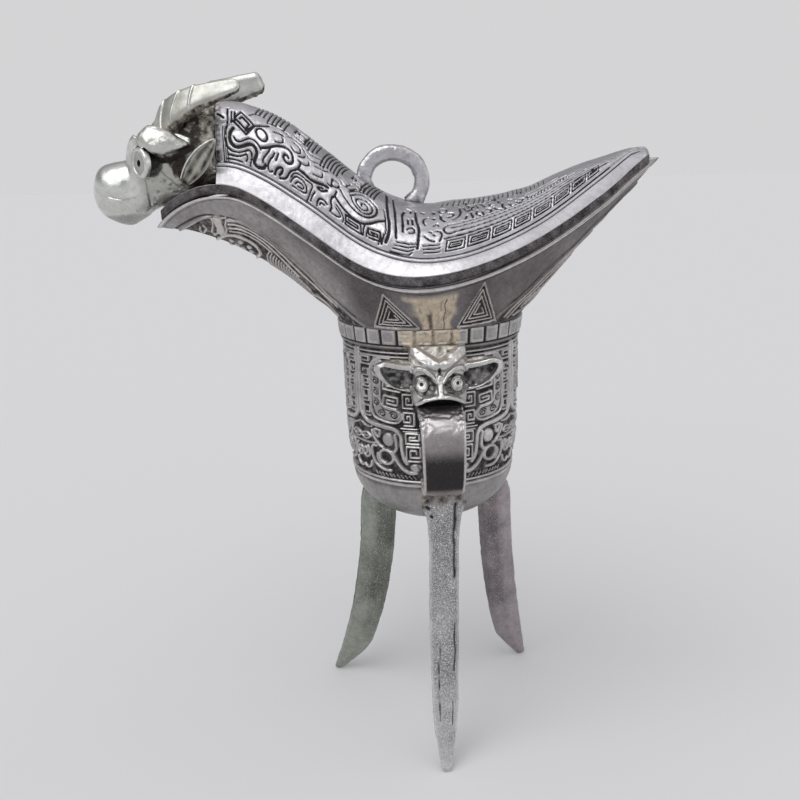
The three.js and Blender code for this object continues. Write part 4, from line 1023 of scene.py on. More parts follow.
def cup():
    profile, outer_rows = cup_profile()
    turn = np.linspace(0, 2 * math.pi, 820, endpoint=False)
    radius, z = profile[:, :1], profile[:, 1:] + 0 * turn
    outside = np.arange(len(z))[:, None] < outer_rows
    u = (((turn + 1.5 * math.pi) % (2 * math.pi)) - math.pi)[None, :] * BELLY_RADIUS + 0 * z
    grid = np.stack([radius * np.cos(turn), radius * np.sin(turn), z], -1)
    relief = belly_board().sample(belly_fold(u), z)
    on_wall = (z > RELIEF_LOW_Z) & (z < BAND_RING_LOW_Z) & outside
    behind_strap = ease(np.abs(u), 3.6, 4.2)
    push = np.where(on_wall, mix(-0.3, -0.42 + 0.56 * relief, behind_strap), 0.0)
    ground = ease(relief, 0.7, 0.1) * (0.78 + 0.3 * noise(grid, 0.9, 2))
    patina_and_painted_shade = np.where(on_wall, mix(0.6, ground, behind_strap), 0.0)
    ring, brick, block = bricks(u, z)
    on_band = (z >= BAND_RING_LOW_Z) & outside
    ragged = noise(grid, 1.2, 2)
    patch = ease(u + 0.8 * ragged, -7.4, -6.6) * ease(u + 0.5 * ragged, 4.4, 3.8) * on_band
    band_height = np.maximum(brick, ring * (1 - patch))
    push = np.where(on_band, -0.3 + 0.38 * brick + 0.35 * ring * (1 - 0.7 * patch), push)
    patina_and_painted_shade = np.where(on_band, ease(band_height, 0.55, 0.05) + 0.25 * (block - brick), patina_and_painted_shade)
    patina_and_painted_shade = np.where(on_band, mix(patina_and_painted_shade, 0.1 + 0.3 * patina_and_painted_shade + 0.4 * noise(grid, 0.6, 2), patch), patina_and_painted_shade)
    wobble = 0.07 * noise(grid, 2.5, 3) + 0.03 * noise(grid, 0.5, 1) + 0.1 * patch * noise(grid, 0.8, 2)
    push = push + np.where(outside, wobble, 0)
    grid[..., :2] *= (1 + push / np.maximum(radius, 3))[..., None]
    bowl = (z < RELIEF_LOW_Z) & outside
    cast = 0.16 + 0.26 * noise(grid, 3.5, 3) + 0.2 * noise(grid, 0.45, 2) * ease(z, 56.5, 53)
    patina_and_painted_shade = np.where(bowl, cast + 0.35 * ease(z, 58.8, RELIEF_LOW_Z), patina_and_painted_shade)
    stain = bowl * ease(np.abs(u + 0.4) + 0.7 * noise(grid, 1.2, 2), 4.4, 2.6) * ease(z, 52.5, 54.5)
    patina_and_painted_shade = patina_and_painted_shade + stain * (0.4 + 0.3 * noise(grid, 0.6, 3))
    patina_and_painted_shade = np.clip(np.where(outside, patina_and_painted_shade, 0.3), 0, 1)
    shine = np.where(on_wall, relief, np.where(on_band, 0.85 * brick, 0.3))
    polish_and_painted_highlight = np.clip(shine, 0, 1) * (0.6 + 0.3 * noise(grid, 5))
    wear_and_painted_light = wear_and_painted_light_of(patina_and_painted_shade.shape, patina_and_painted_shade, polish_and_painted_highlight, np.maximum(patch, 0.45 * stain))
    tube_piece("vessel_cup", grid, wear_and_painted_light, CUP_METAL, "vessel", ["vessel_body"])


# The flaring mouth, with the relief under the spout and the tail and the triangles over the band
spout_border = through((0, 0.87), (0.12, 0.845), (0.18, 0.82), (0.215, 0.755), (0.238, 0.68), (0.255, 0.552),
                       (0.256, 0.47), (0.27, 0.313), (0.309, 0.165), (0.42, 0.05), (0.5, 0.0), (0.6, -0.1))
tail_border = through((1.3, -0.1), (1.385, 0.0), (1.43, 0.178), (1.481, 0.243), (1.564, 0.402), (1.7, 0.6),
                      (1.9, 0.79), (2, 0.84))


def wall_line(points, width=0.6, top=1.0):
    """A raised line on the wall through points (q, t)."""
    path = smooth_path(points, 0.004)
    return mouth_at(path[:, 0], path[:, 1]), width, top


def spout_panel():
    """Border, nested lines, notched horn, bossed curl and comb of the panel under the spout."""
    drawn = [
        wall_line([(0, 0.87), (0.07, 0.85), (0.12, 0.843), (0.161, 0.837), (0.18, 0.825)], 0.7),
        wall_line([(0.206, 0.742), (0.226, 0.722), (0.238, 0.68), (0.246, 0.622), (0.255, 0.552),
                   (0.256, 0.47), (0.26, 0.388), (0.27, 0.313), (0.284, 0.237), (0.309, 0.165),
                   (0.343, 0.112), (0.42, 0.05), (0.5, 0.0)], 0.75),
        wall_line([(0.188, 0.715), (0.21, 0.685), (0.223, 0.638), (0.23, 0.57), (0.234, 0.495),
                   (0.229, 0.408), (0.225, 0.323), (0.23, 0.25), (0.26, 0.16), (0.31, 0.09)], 0.5, 0.85),
        wall_line([(0.169, 0.685), (0.196, 0.653), (0.21, 0.595), (0.214, 0.523), (0.204, 0.435),
                   (0.193, 0.347), (0.18, 0.27)], 0.5, 0.85),
        wall_line([(0.15, 0.665), (0.178, 0.63), (0.192, 0.58), (0.195, 0.52), (0.186, 0.45)], 0.4, 0.75),
    ]
    horn_outline = [(0.184, 0.818), (0.176, 0.797), (0.196, 0.795), (0.201, 0.772), (0.217, 0.772),
                    (0.196, 0.74), (0.174, 0.715), (0.156, 0.685), (0.126, 0.665), (0.092, 0.667),
                    (0.109, 0.693), (0.074, 0.697), (0.094, 0.723), (0.135, 0.747), (0.165, 0.777),
                    (0.184, 0.818)]
    drawn += [wall_line([a, b], 0.5) for a, b in zip(horn_outline[:-1], horn_outline[1:])]
    drawn.append(wall_line([(0.19, 0.785), (0.165, 0.75), (0.14, 0.71), (0.11, 0.685)], 2.0, 0.8))
    drawn.append(wall_line([(0.0, 0.665), (0.06, 0.66), (0.116, 0.647), (0.141, 0.618), (0.155, 0.577),
                            (0.158, 0.532), (0.147, 0.495), (0.11, 0.46), (0.036, 0.447), (0, 0.445)], 0.8))
    for q, t in ((0.069, 0.605), (0.1, 0.57), (0.044, 0.565), (0.1, 0.52), (0.043, 0.532), (0.06, 0.49),
                 (0.005, 0.59)):
        drawn.append(wall_line([(q, t), (q + 0.008, t)], 1.2, 0.85))
    for k in range(17):
        t = 0.425 - 0.0165 * k
        reach = 0.178 - 0.0018 * k
        drawn.append(wall_line([(0.03, t - 0.055), (0.09, t - 0.02), (0.14, t + 0.01), (reach, t + 0.028)],
                               0.4, 0.85))
    drawn.append(wall_line([(0, 0.148), (0.1, 0.145), (0.173, 0.13), (0.204, 0.085), (0.223, 0.03)],
                           0.7, 0.9))
    drawn.append(wall_line([(0, 0.1), (0.1, 0.095), (0.16, 0.07), (0.18, 0.02)], 0.4, 0.75))
    drawn.append(wall_line([(0.116, 0.788), (0.091, 0.755), (0.024, 0.75), (0.092, 0.79)], 0.5, 0.8))
    return drawn


def tail_panel():
    """Border, two lines beside it and a comb on the panel under the tail."""
    drawn = [
        wall_line([(1.385, 0.0), (1.389, 0.095), (1.43, 0.178), (1.481, 0.243), (1.525, 0.315),
                   (1.564, 0.402), (1.62, 0.5), (1.7, 0.6), (1.8, 0.7), (1.9, 0.79), (2, 0.84)], 0.7),
        wall_line([(1.46, 0.05), (1.5, 0.16), (1.56, 0.25), (1.61, 0.34), (1.68, 0.43), (1.78, 0.53),
                   (1.9, 0.62), (2, 0.66)], 0.5, 0.85),
        wall_line([(1.5, 0.03), (1.55, 0.15), (1.61, 0.24), (1.68, 0.33), (1.78, 0.42), (1.9, 0.5),
                   (2, 0.53)], 0.5, 0.85),
        wall_line([(1.56, 0.04), (1.7, 0.1), (1.85, 0.14), (2, 0.16)], 0.6, 0.9),
    ]
    for k in range(12):
        q, t = 1.6 + 0.033 * k, 0.11 + 0.017 * k
        drawn.append(wall_line([(q, t), (q + 0.03, t + 0.1)], 0.5, 0.85))
    return drawn


def triangle_corners(left, apex, right):
    return np.stack([mouth_at(q, t) for q, t in (left, apex, right)])


TRIANGLES = (
    triangle_corners((0.585, 0.012), (0.8, 0.70), (0.882, 0.012)),
    triangle_corners((1.118, 0.012), (1.171, 0.84), (1.378, 0.05)),
)


def triangle_lines(corners, wall):
    """Nested triangles round a squared spiral, laid on the nearest points of the wall."""
    middle = corners.mean(0)
    runs = []
    for share, width in ((1.0, 0.5), (0.74, 0.42), (0.5, 0.42)):
        ring = middle + (corners - middle) * share
        runs += [(ring[k], ring[(k + 1) % 3], width) for k in range(3)]
    ring = middle + (corners - middle) * 0.26
    long_end, short_end = mix(ring[0], ring[1], 0.9), mix(ring[2], ring[1], 0.5)
    runs += [(ring[0], long_end, 0.4), (ring[0], ring[2], 0.4), (ring[2], short_end, 0.4)]
    drawn = []
    for a, b, width in runs:
        chord = mix(a, b, np.linspace(0, 1, int(np.linalg.norm(b - a) / 0.12) + 2)[:, None])
        gap = np.linalg.norm(chord[:, None] - wall[None], axis=2)
        drawn.append((wall[gap.argmin(1)], width, 1.0))
    return drawn


def inside_triangle(points, corners, margin):
    """Where points lie inside a triangle grown by the margin, looking along y."""
    inside = np.ones(points.shape[:-1])
    turning = np.sign(np.cross((corners[1] - corners[0])[[0, 2]], (corners[2] - corners[0])[[0, 2]]))
    for k in range(3):
        side = (corners[(k + 1) % 3] - corners[k])[[0, 2]]
        gap = points[..., [0, 2]] - corners[k][[0, 2]]
        away = turning * (side[0] * gap[..., 1] - side[1] * gap[..., 0]) / np.linalg.norm(side)
        inside *= ease(away, -margin, -margin + 0.15)
    return inside


def mouth_relief(outer, q, t):
    """Raised lines, and the sunk ground of the two panels and the triangles."""
    folded = outer.copy()
    folded[..., 1] = -np.abs(folded[..., 1])
    fold_q = np.where(q > 2, 4 - q, q)
    side_wall = folded[::2, (fold_q[0] > 0.55) & (fold_q[0] < 1.45) & (q[0] <= 2)].reshape(-1, 3)
    side_wall = side_wall[side_wall[:, 2] < BAND_TOP_Z + 12]
    strokes = spout_panel() + tail_panel()
    for corners in TRIANGLES:
        strokes += triangle_lines(corners, side_wall)
    relief = strokes_on(folded.reshape(-1, 3), strokes).reshape(q.shape)
    sunk = ease(spout_border(fold_q) - t, -0.02, 0.02) * (fold_q < 0.52)
    sunk += ease(tail_border(fold_q) - t, -0.02, 0.02) * (fold_q > 1.37)
    for corners in TRIANGLES:
        sunk += inside_triangle(folded, corners, 0.25)
    beside = np.clip(1 - np.abs(spout_border(fold_q) - t + 0.028) / 0.022, 0, 1) * (fold_q < 0.46)
    beside += np.clip(1 - np.abs(tail_border(fold_q) - t + 0.03) / 0.025, 0, 1) * (fold_q > 1.39)
    return relief, np.clip(sunk, 0, 1), beside, fold_q


def mouth_columns():
    parts = [(0, 0.3, 190), (0.3, 0.56, 70), (0.56, 0.9, 150), (0.9, 1.1, 60), (1.1, 1.42, 140),
             (1.42, 2, 140)]
    near = np.concatenate([np.linspace(a, b, n, endpoint=False) for a, b, n in parts])
    return np.concatenate([near, [2.0], 4 - near[:0:-1]])


def braze_marks(outer, q, t):
    """The rough repair over the handle: how far it spreads, its file marks, and its recess and crack."""
    patch = ease(np.abs(q - 0.985) * 46 + 1.1 * noise(outer, 2, 2), 5.4, 3.8) * ease(t, 0.84, 0.72) * (q < 2)
    marks = noise(outer * np.array([1, 1, 0.1]), 0.4, 2)
    hole = np.exp(-(((q - 0.955) / 0.016) ** 2)) * ease(t, 0.4, 0.3)
    crack = np.clip(1 - np.abs(q - 1.032 - 0.004 * np.sin(t * 20)) / 0.005, 0, 1) * ease(t, 0.72, 0.66)
    return patch, marks, hole * patch, crack * patch


def mouth():
    q, t = np.broadcast_arrays(mouth_columns()[None, :], np.linspace(0, 1, 210)[:, None])
    outer = mouth_at(q, t)
    n = normals(outer)
    n *= np.sign(np.einsum("rci,rci->rc", n, outer - np.array([0, 0, 130])).mean())
    relief, sunk, beside, fold_q = mouth_relief(outer, q, t)
    patch, marks, hole, crack = braze_marks(outer, q, t)
    steps = np.linalg.norm(np.diff(outer, axis=0), axis=2)
    to_rim = np.vstack([np.cumsum(steps[::-1], axis=0)[::-1], np.zeros((1, q.shape[1]))])
    wide = mix(0.42, 0.62, ease(fold_q, 1.1, 1.6))
    bead = np.clip(1 - ((to_rim - wide) / (wide + 0.1)) ** 2, 0, 1)
    under_bead = np.clip(1 - np.abs(to_rim - 2 * wide - 0.45) / 0.35, 0, 1)
    push = 0.42 * relief - 0.3 * sunk - 0.16 * beside + 0.16 * bead - 0.08 * under_bead
    push += 0.1 * noise(outer, 6, 2) * ease(t, 0, 0.2) * ease(t, 1, 0.85) + 0.02 * noise(outer, 0.5, 1)
    push -= patch * (0.06 * marks + 0.1 * noise(outer, 0.9, 2)) + 0.35 * hole + 0.2 * crack
    plain = 0.1 + 0.22 * noise(outer, 4, 3) + 0.2 * ease(t, 0.2, 0.0)
    ground = sunk * ease(relief, 0.6, 0.1) * (0.74 + 0.3 * noise(outer, 0.9, 2))
    patina_and_painted_shade = np.maximum.reduce([ground, 0.9 * beside * (1 - relief), plain * (1 - patch)])
    filed = patch * (0.12 + 0.4 * marks)
    patina_and_painted_shade = np.maximum.reduce([patina_and_painted_shade, 0.75 * hole, 0.9 * crack, filed, 0.6 * under_bead])
    patina_and_painted_shade = np.clip(patina_and_painted_shade, 0, 1) * (1 - bead)
    lit = 0.34 * ease(fold_q, 0.7, 0.35) + 0.06 + 0.12 * noise(outer, 7, 2)
    polish_and_painted_highlight = np.clip(np.maximum(bead, lit) + 0.6 * relief * sunk, 0, 1)
    outer = outer + n * push[..., None]
    lip = [mouth_at(q[:1], 1.0, RIM_WALL * share) + np.array([0, 0, 0.02]) for share in (0.2, 0.6, 1.0)]
    inner = mouth_at(q[:1], np.linspace(1, 0, 40)[1:, None], RIM_WALL, CUP_WALL)
    below = np.array([0, 0, 0.3])
    grid = np.concatenate([outer, *lip, inner, inner[-1:] - below, outer[:1] - below])
    extra = len(grid) - len(outer)
    warmth = np.maximum(patch, 0.12 * sunk)
    outer_wear_and_painted_light = wear_and_painted_light_of(patina_and_painted_shade.shape, patina_and_painted_shade, polish_and_painted_highlight, warmth)
    wear_and_painted_light = np.concatenate([outer_wear_and_painted_light, wear_and_painted_light_of((extra, q.shape[1]), 0.25, 0.3)])
    wear_and_painted_light[len(outer) : len(outer) + 3, :, :2] = (0.0, 0.95)
    tube_piece("vessel_mouth", grid, wear_and_painted_light, WALL_METAL_PAINTED_SHADE, "vessel", ["vessel_body"],
               wrap_rows=True)


# Lid: closed sections along the vessel, with the panel's ornament cut into the dome
LID_TIP_X = TAIL_REACH - LID_INSET * 1.7
PLATE_END_X = -NECK_END - 0.1
TIP_ROUND = 1.5
EDGE_COLUMNS = 7
FLANGE_COLUMNS = 36
DOME_COLUMNS = 237


def lid_rows():
    """Stations along x, and how far each section has closed towards the rounded tip."""
    swing = np.linspace(0, math.pi / 2 - 0.04, 26)
    plate = np.linspace(-53.4, -NECK_END - 0.12, 30)
    saddle = np.linspace(-NECK_END - 0.05, LID_TIP_X - TIP_ROUND, 610)
    x = np.concatenate([plate, saddle[:-1], LID_TIP_X - TIP_ROUND + TIP_ROUND * np.sin(swing)])
    closing = np.concatenate([np.ones(len(x) - len(swing)), np.cos(swing)])
    return x, closing


def lid_sections(x, closing):
    """Rings round the lid: near edge, flange, dome, far flange, far edge and the hollow underneath."""
    edge = lid_half_width(x) * closing
    border = np.maximum(edge * 0.1, edge - LID_BAND_WIDTH)
    middle = lid_edge_height(x) - LID_EDGE_THICKNESS * 0.4
    top = middle + LID_EDGE_THICKNESS * 0.4 * closing
    bottom = middle - LID_EDGE_THICKNESS * 0.6 * closing
    crest = crest_rise(x) * closing
    rise = np.minimum(band_rise(x) * closing, crest * 0.8)
    s = np.linspace(0, math.pi, DOME_COLUMNS)[None, :]
    dome_y = -border[:, None] * np.sign(np.cos(s)) * np.abs(np.cos(s)) ** 1.1
    dome_z = (top + rise)[:, None] + (crest - rise)[:, None] * np.sin(s).clip(0) ** 0.95
    t = np.linspace(0, 1, FLANGE_COLUMNS)[None, :]
    flange_y = -mix(edge[:, None], border[:, None], t)
    flange_z = top[:, None] + rise[:, None] * (1 - (1 - t) ** 1.6)
    face = np.linspace(0.04, 0.96, EDGE_COLUMNS)[None, :]
    face_y = -edge[:, None] + 0.12 * (2 * face - 1) ** 4
    face_z = mix(bottom[:, None], top[:, None], face)
    near_y, near_z = np.hstack([face_y, flange_y]), np.hstack([face_z, flange_z])
    upper_y = np.hstack([near_y, dome_y[:, 1:-1], -near_y[:, ::-1]])
    upper_z = np.hstack([near_z, dome_z[:, 1:-1], near_z[:, ::-1]])
    plate = x < PLATE_END_X
    upper_z[plate] = np.minimum(upper_z[plate], top[plate, None])
    hollow = ease(x, -NECK_END + 1.2, -NECK_END + 3.5) * ease(x, TAIL_REACH * 0.8, TAIL_REACH * 0.72)
    room = np.maximum(0.2 * closing, edge - 3.4)
    under = np.linspace(math.pi, 0, 40)[None, :]
    roof = (top + rise)[:, None] + (crest - rise)[:, None] * np.sin(under).clip(0) ** 0.95 - LID_SHELL
    roof = np.maximum(bottom[:, None] + 0.2, roof)
    y = np.hstack([upper_y, -room[:, None] * np.cos(under)])
    z = np.hstack([upper_z, mix(bottom[:, None], roof, hollow[:, None])])
    return np.stack([x[:, None] + 0 * y, y, z], -1), upper_y.shape[1]


def panel_places(grid, plate):
    """Distances along the panel's border from the neck, and up the dome from the border."""
    first = EDGE_COLUMNS + FLANGE_COLUMNS
    last = first + DOME_COLUMNS - 2
    line = grid[~plate, first - 1]
    along = np.zeros(len(grid))
    along[~plate] = np.r_[0, np.cumsum(np.linalg.norm(np.diff(line, axis=0), axis=1))]
    up = np.cumsum(np.linalg.norm(np.diff(grid[:, first - 1 : last + 1], axis=1), axis=2), axis=1)
    across = np.zeros(grid.shape[:2])
    across[:, first : last + 1] = np.minimum(up, up[:, -1:] - up)
    panel = np.zeros(grid.shape[:2])
    panel[:, first : last + 1] = 1
    panel[plate] = 0
    return along[:, None] + 0.95 + 0 * across, across, panel


def flange_places(grid, upper_columns):
    """For each flange column, its distance from the panel's border in mm; elsewhere a large number."""
    away = np.full(grid.shape[:2], 99.0)
    first = EDGE_COLUMNS
    near = grid[:, first : first + FLANGE_COLUMNS]
    steps = np.linalg.norm(np.diff(near, axis=1), axis=2)
    run = np.hstack([np.zeros((len(grid), 1)), np.cumsum(steps, axis=1)])
    away[:, first : first + FLANGE_COLUMNS] = run[:, -1:] - run
    away[:, upper_columns - first - FLANGE_COLUMNS : upper_columns - first] = (run[:, -1:] - run)[:, ::-1]
    return away


def lid():
    x, closing = lid_rows()
    grid, upper_columns = lid_sections(x, closing)
    plate = x < PLATE_END_X
    n = normals(grid)
    section_z = grid[len(grid) // 2, :, 2]
    n *= np.sign((n[len(grid) // 2, :, 2] * (section_z > section_z.mean())).mean())
    u, across, panel = panel_places(grid, plate)
    away = flange_places(grid, upper_columns)
    on_top = np.zeros(grid.shape[:2])
    on_top[:, :upper_columns] = 1
    side_face = np.zeros(grid.shape[:2])
    side_face[:, :EDGE_COLUMNS] = side_face[:, upper_columns - EDGE_COLUMNS : upper_columns] = 1
    ends = ((1 - plate) * ease(x, 44.2, 43.2))[:, None]
    ornate = panel * ease(u, PANEL_LENGTH, PANEL_LENGTH - 3)
    cut = lid_board().sample(u, across) * ornate
    bead = np.clip(1 - ((away - 0.38) / 0.4) ** 2, 0, 1) * ends
    slot = np.clip(1 - ((away - 0.98) / 0.24) ** 2, 0, 1) * ends
    push = -0.44 * cut + 0.13 * bead - 0.3 * slot + 0.08 * panel * noise(grid, 3.0, 2)
    push += np.where(panel > 0, 0.04, 0.015) * noise(grid, 0.7, 2) + 0.05 * (1 - panel) * noise(grid, 7, 1)
    push += 0.05 * side_face * noise(grid, 1.0, 2)
    grid = grid + n * (push * on_top)[..., None]
    collar = panel * ease(u, 3.2, 1.4) * (0.5 + 0.6 * noise(grid, 0.7, 2))
    grain = panel * (1 - ornate) * (0.12 + 0.34 * noise(grid, 0.45, 2))
    patina_and_painted_shade = np.maximum.reduce([ease(cut, 0.1, 0.55), 0.95 * slot, collar, grain])
    # Painted shade: the lid's upright edge is painted dark, with a little mottling.
    patina_and_painted_shade = np.maximum(patina_and_painted_shade, side_face * (0.74 + 0.1 * noise(grid, 1.2, 3)))
    patina_and_painted_shade = np.where(on_top > 0, patina_and_painted_shade, 0.45)
    flange = (away < 90) & (side_face == 0)
    polish_and_painted_highlight = np.where(flange, 0.5 + 0.14 * noise(grid, 5, 2), 0.52 + 0.3 * noise(grid, 2.2, 3))
    polish_and_painted_highlight = np.maximum(polish_and_painted_highlight, bead) * on_top * (1 - side_face)
    wear_and_painted_light = wear_and_painted_light_of(patina_and_painted_shade.shape, patina_and_painted_shade, polish_and_painted_highlight)
    tube_piece("lid_saddle", grid, wear_and_painted_light, LID_METAL, "lid", ["lid_cover"])


def lid_lip():
    """The lip that hangs into the mouth, as a closed band round the lid's hollow."""
    q = np.linspace(0.34, 1.78, 150)
    wall = RIM_WALL + 0.5
    rings = []
    for inset, depths in ((wall, (-0.5, 0.5, 2.1)), (wall + 1.2, (2.1, 0.5, -0.5))):
        skin = mouth_at(q[:, None], np.linspace(0.85, 1, 60)[None, :], inset, CUP_WALL + 0.5)
        for depth in depths:
            height = rim_height(skin[:, -1, 0]) - depth
            rows = zip(height, skin)
            ring = np.array([[np.interp(h, row[:, 2], row[:, k]) for k in range(3)] for h, row in rows])
            ring[:, 2] = height
            rings.append(ring)
    near = np.stack(rings, 1)
    grid = np.concatenate([near, near[::-1] * np.array([1, -1, 1])])
    wear_and_painted_light = wear_and_painted_light_of(grid.shape[:2], 0.3, 0.3)
    tube_piece("lid_lip", grid, wear_and_painted_light, LID_METAL, "lid", ["lid_cover"], wrap_rows=True)


# Legs
leg_width_share = through((0.5, 1), (0.77, 0.82), (0.855, 0.62), (0.92, 0.36), (0.97, 0.14), (1, 0))
leg_depth_share = through((0, 1), (0.8, 0.84), (0.87, 0.68), (1, 0))
LEG_TOP_Z = LEG_LENGTH + ROUND_BOTTOM_HEIGHT * 0.55


def leg_profile(z, root, reach):
    """At each height: where the leg's outer face stands, its half width and its depth."""
    down = np.maximum(0, 1 - z / LEG_LENGTH)
    join = ease(z, LEG_LENGTH * 0.87, LEG_TOP_Z)
    half = mix(FOOT_SIZE, LEG_WIDTH, leg_width_share(down)) * (1 + LEG_FLARE * join) / 2
    depth = mix(FOOT_SIZE, LEG_DEPTH, leg_depth_share(down))
    outer = mix(mix(root, FOOT_RADIUS + FOOT_SIZE / 2, down**2.2), BELLY_RADIUS * reach, join)
    tip = np.sqrt(np.clip(1 - np.maximum(0, 1 - z / 1.1) ** 2, 0.02, 1))
    return outer - half * (1 - tip), half * tip, depth * tip


def leg_rings(z, root, reach, columns=96):
    """The leg's eight-sided section at each height, its corners a little rounded, as (outwards, across)."""
    outer, half, depth = leg_profile(z, root, reach)
    bevel = half * 0.34
    side = [(outer, half - bevel), (outer - bevel * 1.1, half), (outer - depth * 0.55, half * 0.86)]
    side.append((outer - depth, half * 0.36))
    ring = [(outer, bevel - half)] + side + [(out, -across) for out, across in side[:0:-1]]
    corners = np.stack([np.stack(corner, -1) for corner in ring], 1)
    share = np.linspace(0, 8, columns, endpoint=False)
    first = share.astype(int)
    flat = mix(corners[:, first], corners[:, (first + 1) % 8], (share % 1)[None, :, None])
    for _ in range(2):
        flat = (np.roll(flat, 1, axis=1) + 2 * flat + np.roll(flat, -1, axis=1)) / 4
    return flat, outer, half


def bowl_height(radius):
    """Height of the cup's round bottom at a distance from its axis."""
    share = np.clip(radius / (BOTTOM_SHARE * BELLY_RADIUS), 0, 1)
    return TURN_Z - ROUND_BOTTOM_HEIGHT * np.sqrt(1 - share**2)


def leg_cuts(z, wide, half, front, seams):
    """Cracks down the front of a leg: each (across, from height, to height, width)."""
    cut = np.zeros(wide.shape)
    for across, low_z, high_z, width in seams:
        wander = across + 0.05 * np.sin(z / 3.1) + 0.03 * np.sin(z / 0.9)
        line = np.clip(1 - np.abs(wide - wander) * half / width, 0, 1) * front
        cut = np.maximum(cut, line * ease(z, low_z, low_z + 1) * ease(z, high_z, high_z - 1))
    return cut


def file_marks(across, z):
    """Slanting scratches left by a file, from -1 to 1."""
    slant = z + 0.45 * across
    return noise(np.stack([slant, 0.12 * across, 0 * slant], -1), 0.5, 2)


def leg(name, metal, angle, root, lean, seams, holes=(), filed=0.0, reach=0.76):
    z = np.concatenate([np.linspace(LEG_TOP_Z, 4, 330), np.linspace(4, 0.02, 60)[1:]])
    flat, outer, half = leg_rings(z, root, reach)
    z, outer, half = z[:, None], outer[:, None], half[:, None]
    shift = lean * (1 - np.maximum(0, 1 - z / LEG_LENGTH))
    c, s = math.cos(math.radians(angle)), math.sin(math.radians(angle))
    out, across = flat[..., 0], flat[..., 1] + shift
    grid = np.stack([c * out - s * across, s * out + c * across, z + 0 * out], -1)
    n = outward_normals(grid)
    wide = flat[..., 1] / half
    front = ease(out - outer, -1.4, -0.5)
    cut = leg_cuts(z, wide, half, front, seams)
    for at, height, radius in holes:
        gap = np.hypot((wide - at) * half, z - height) / radius
        cut = np.maximum(cut, 1.4 * front * np.clip(1.3 * (1 - gap**2), 0, 1))
    marks = filed * file_marks(flat[..., 1], z) * front
    push = -0.18 * cut + 0.09 * noise(grid, 2.6, 3) + 0.03 * noise(grid, 0.4, 2) + 0.06 * marks
    room = bowl_height(np.hypot(grid[..., 0], grid[..., 1])) - z
    fillet = np.clip(1 - room / 3.4, 0, 1) ** 2 * ease(z, 44, 48)
    grid = grid + n * (push + 0.5 * fillet + 0.06 * fillet * noise(grid, 1.1, 2))[..., None]
    ceiling = bowl_height(np.hypot(grid[..., 0], grid[..., 1])) + 0.5
    grid[..., 2] = np.minimum(grid[..., 2], ceiling)
    grain = 0.1 + 0.16 * noise(grid, 1.6, 3) + 0.1 * noise(grid, 0.35, 2) + 0.2 * marks
    patina_and_painted_shade = np.maximum(np.clip(0.95 * cut + grain, 0, 1), fillet * (0.62 + 0.3 * noise(grid, 0.9, 3)))
    low = ease(z, 26, 10) * 0.55
    polish_and_painted_highlight = 0.3 + low + 0.3 * noise(grid, 5, 3) + 0.45 * ease(np.abs(wide), 0.72, 0.95) + 0.3 * marks
    wear_and_painted_light = wear_and_painted_light_of(patina_and_painted_shade.shape, patina_and_painted_shade, polish_and_painted_highlight - 0.4 * fillet, 0.25 * fillet)
    tube_piece(name, grid, wear_and_painted_light, metal, "vessel", [name])


# Handle
MASK_EYE_X = 3.45
MASK_EYE_Z = 83.2


def strap():
    top_z = BAND_TOP_Z - STRAP_TOP_DROP
    stations = ((None, -0.01), (0.5, 0), (0.83, 0.13), (1, 0.47), (0.86, 0.82), (0.5, 1), (None, 1.03))
    points = []
    for out, down in stations:
        ends = 1 - BELLY_RADIUS if down < 0 else 3.4 - BELLY_RADIUS
        y = ends if out is None else mix(-BELLY_RADIUS, -(BELLY_RADIUS + STRAP_STAND_OFF), out)
        points.append((HANDLE_X, y + STRAP_THICKNESS / 2 * (out == 1), top_z - STRAP_HEIGHT * down))
    path = smooth_path(points, 0.2)
    ahead = np.gradient(path, axis=0)
    ahead /= np.linalg.norm(ahead, axis=1, keepdims=True)
    up = np.stack([0 * ahead[:, 0], -ahead[:, 2], ahead[:, 1]], -1)
    half = STRAP_WIDTH / 2 * mix(1, STRAP_TAPER, np.linspace(0, 1, len(path)))
    grid = swept(path, np.array([1.0, 0, 0]), up, half, STRAP_THICKNESS / 2, 120, 5)
    n = outward_normals(grid)
    across = np.abs(grid[..., 0] - HANDLE_X) / half[:, None]
    z = grid[..., 2]
    top = ease(z, 74.8, 76.2) * ease(grid[..., 1], -23.0, -24.2)
    rough = top + ease(z, 64.4, 63.2)
    lumps = (0.035 + 0.2 * rough) * noise(grid, 0.8, 3)
    bead = ease(across, 0.86, 0.95)
    grid = grid + n * (0.06 * noise(grid, 3, 3) + lumps + 0.07 * bead)[..., None]
    # Painted shade: the lower, downward-facing stretch of the strap is darkened to stand in for a dark
    # reflection, and its top is darkened inside the mask's mouth.
    shade = 0.9 * ease(z, 74.2, 69.0) * ease(z, 62.6, 64.6) * (1 - bead)
    painted_shade_in_mouth = 0.8 * ease(z, 75.5, 76.5) * (1 - top)
    patina_and_painted_shade = np.clip(np.maximum(np.maximum(shade, painted_shade_in_mouth), 0.14 + 0.2 * noise(grid, 2, 3)), 0, 1)
    # Painted highlight: the strap grows brighter towards its top, besides the polish on its top and edge
    # beads.
    polish_and_painted_highlight = np.clip(np.maximum(0.35 * top, 0.75 * bead) + 0.25 * ease(z, 70, 75), 0, 1)
    wear_and_painted_light = wear_and_painted_light_of(patina_and_painted_shade.shape, patina_and_painted_shade, polish_and_painted_highlight, 0.25 * ease(z, 64, 62.8))
    tube_piece("handle_strap", grid, wear_and_painted_light, STRAP_METAL, "vessel", ["handle_strap"])


def mirrored(side, *points):
    return [(side * x, z) for x, z in points]


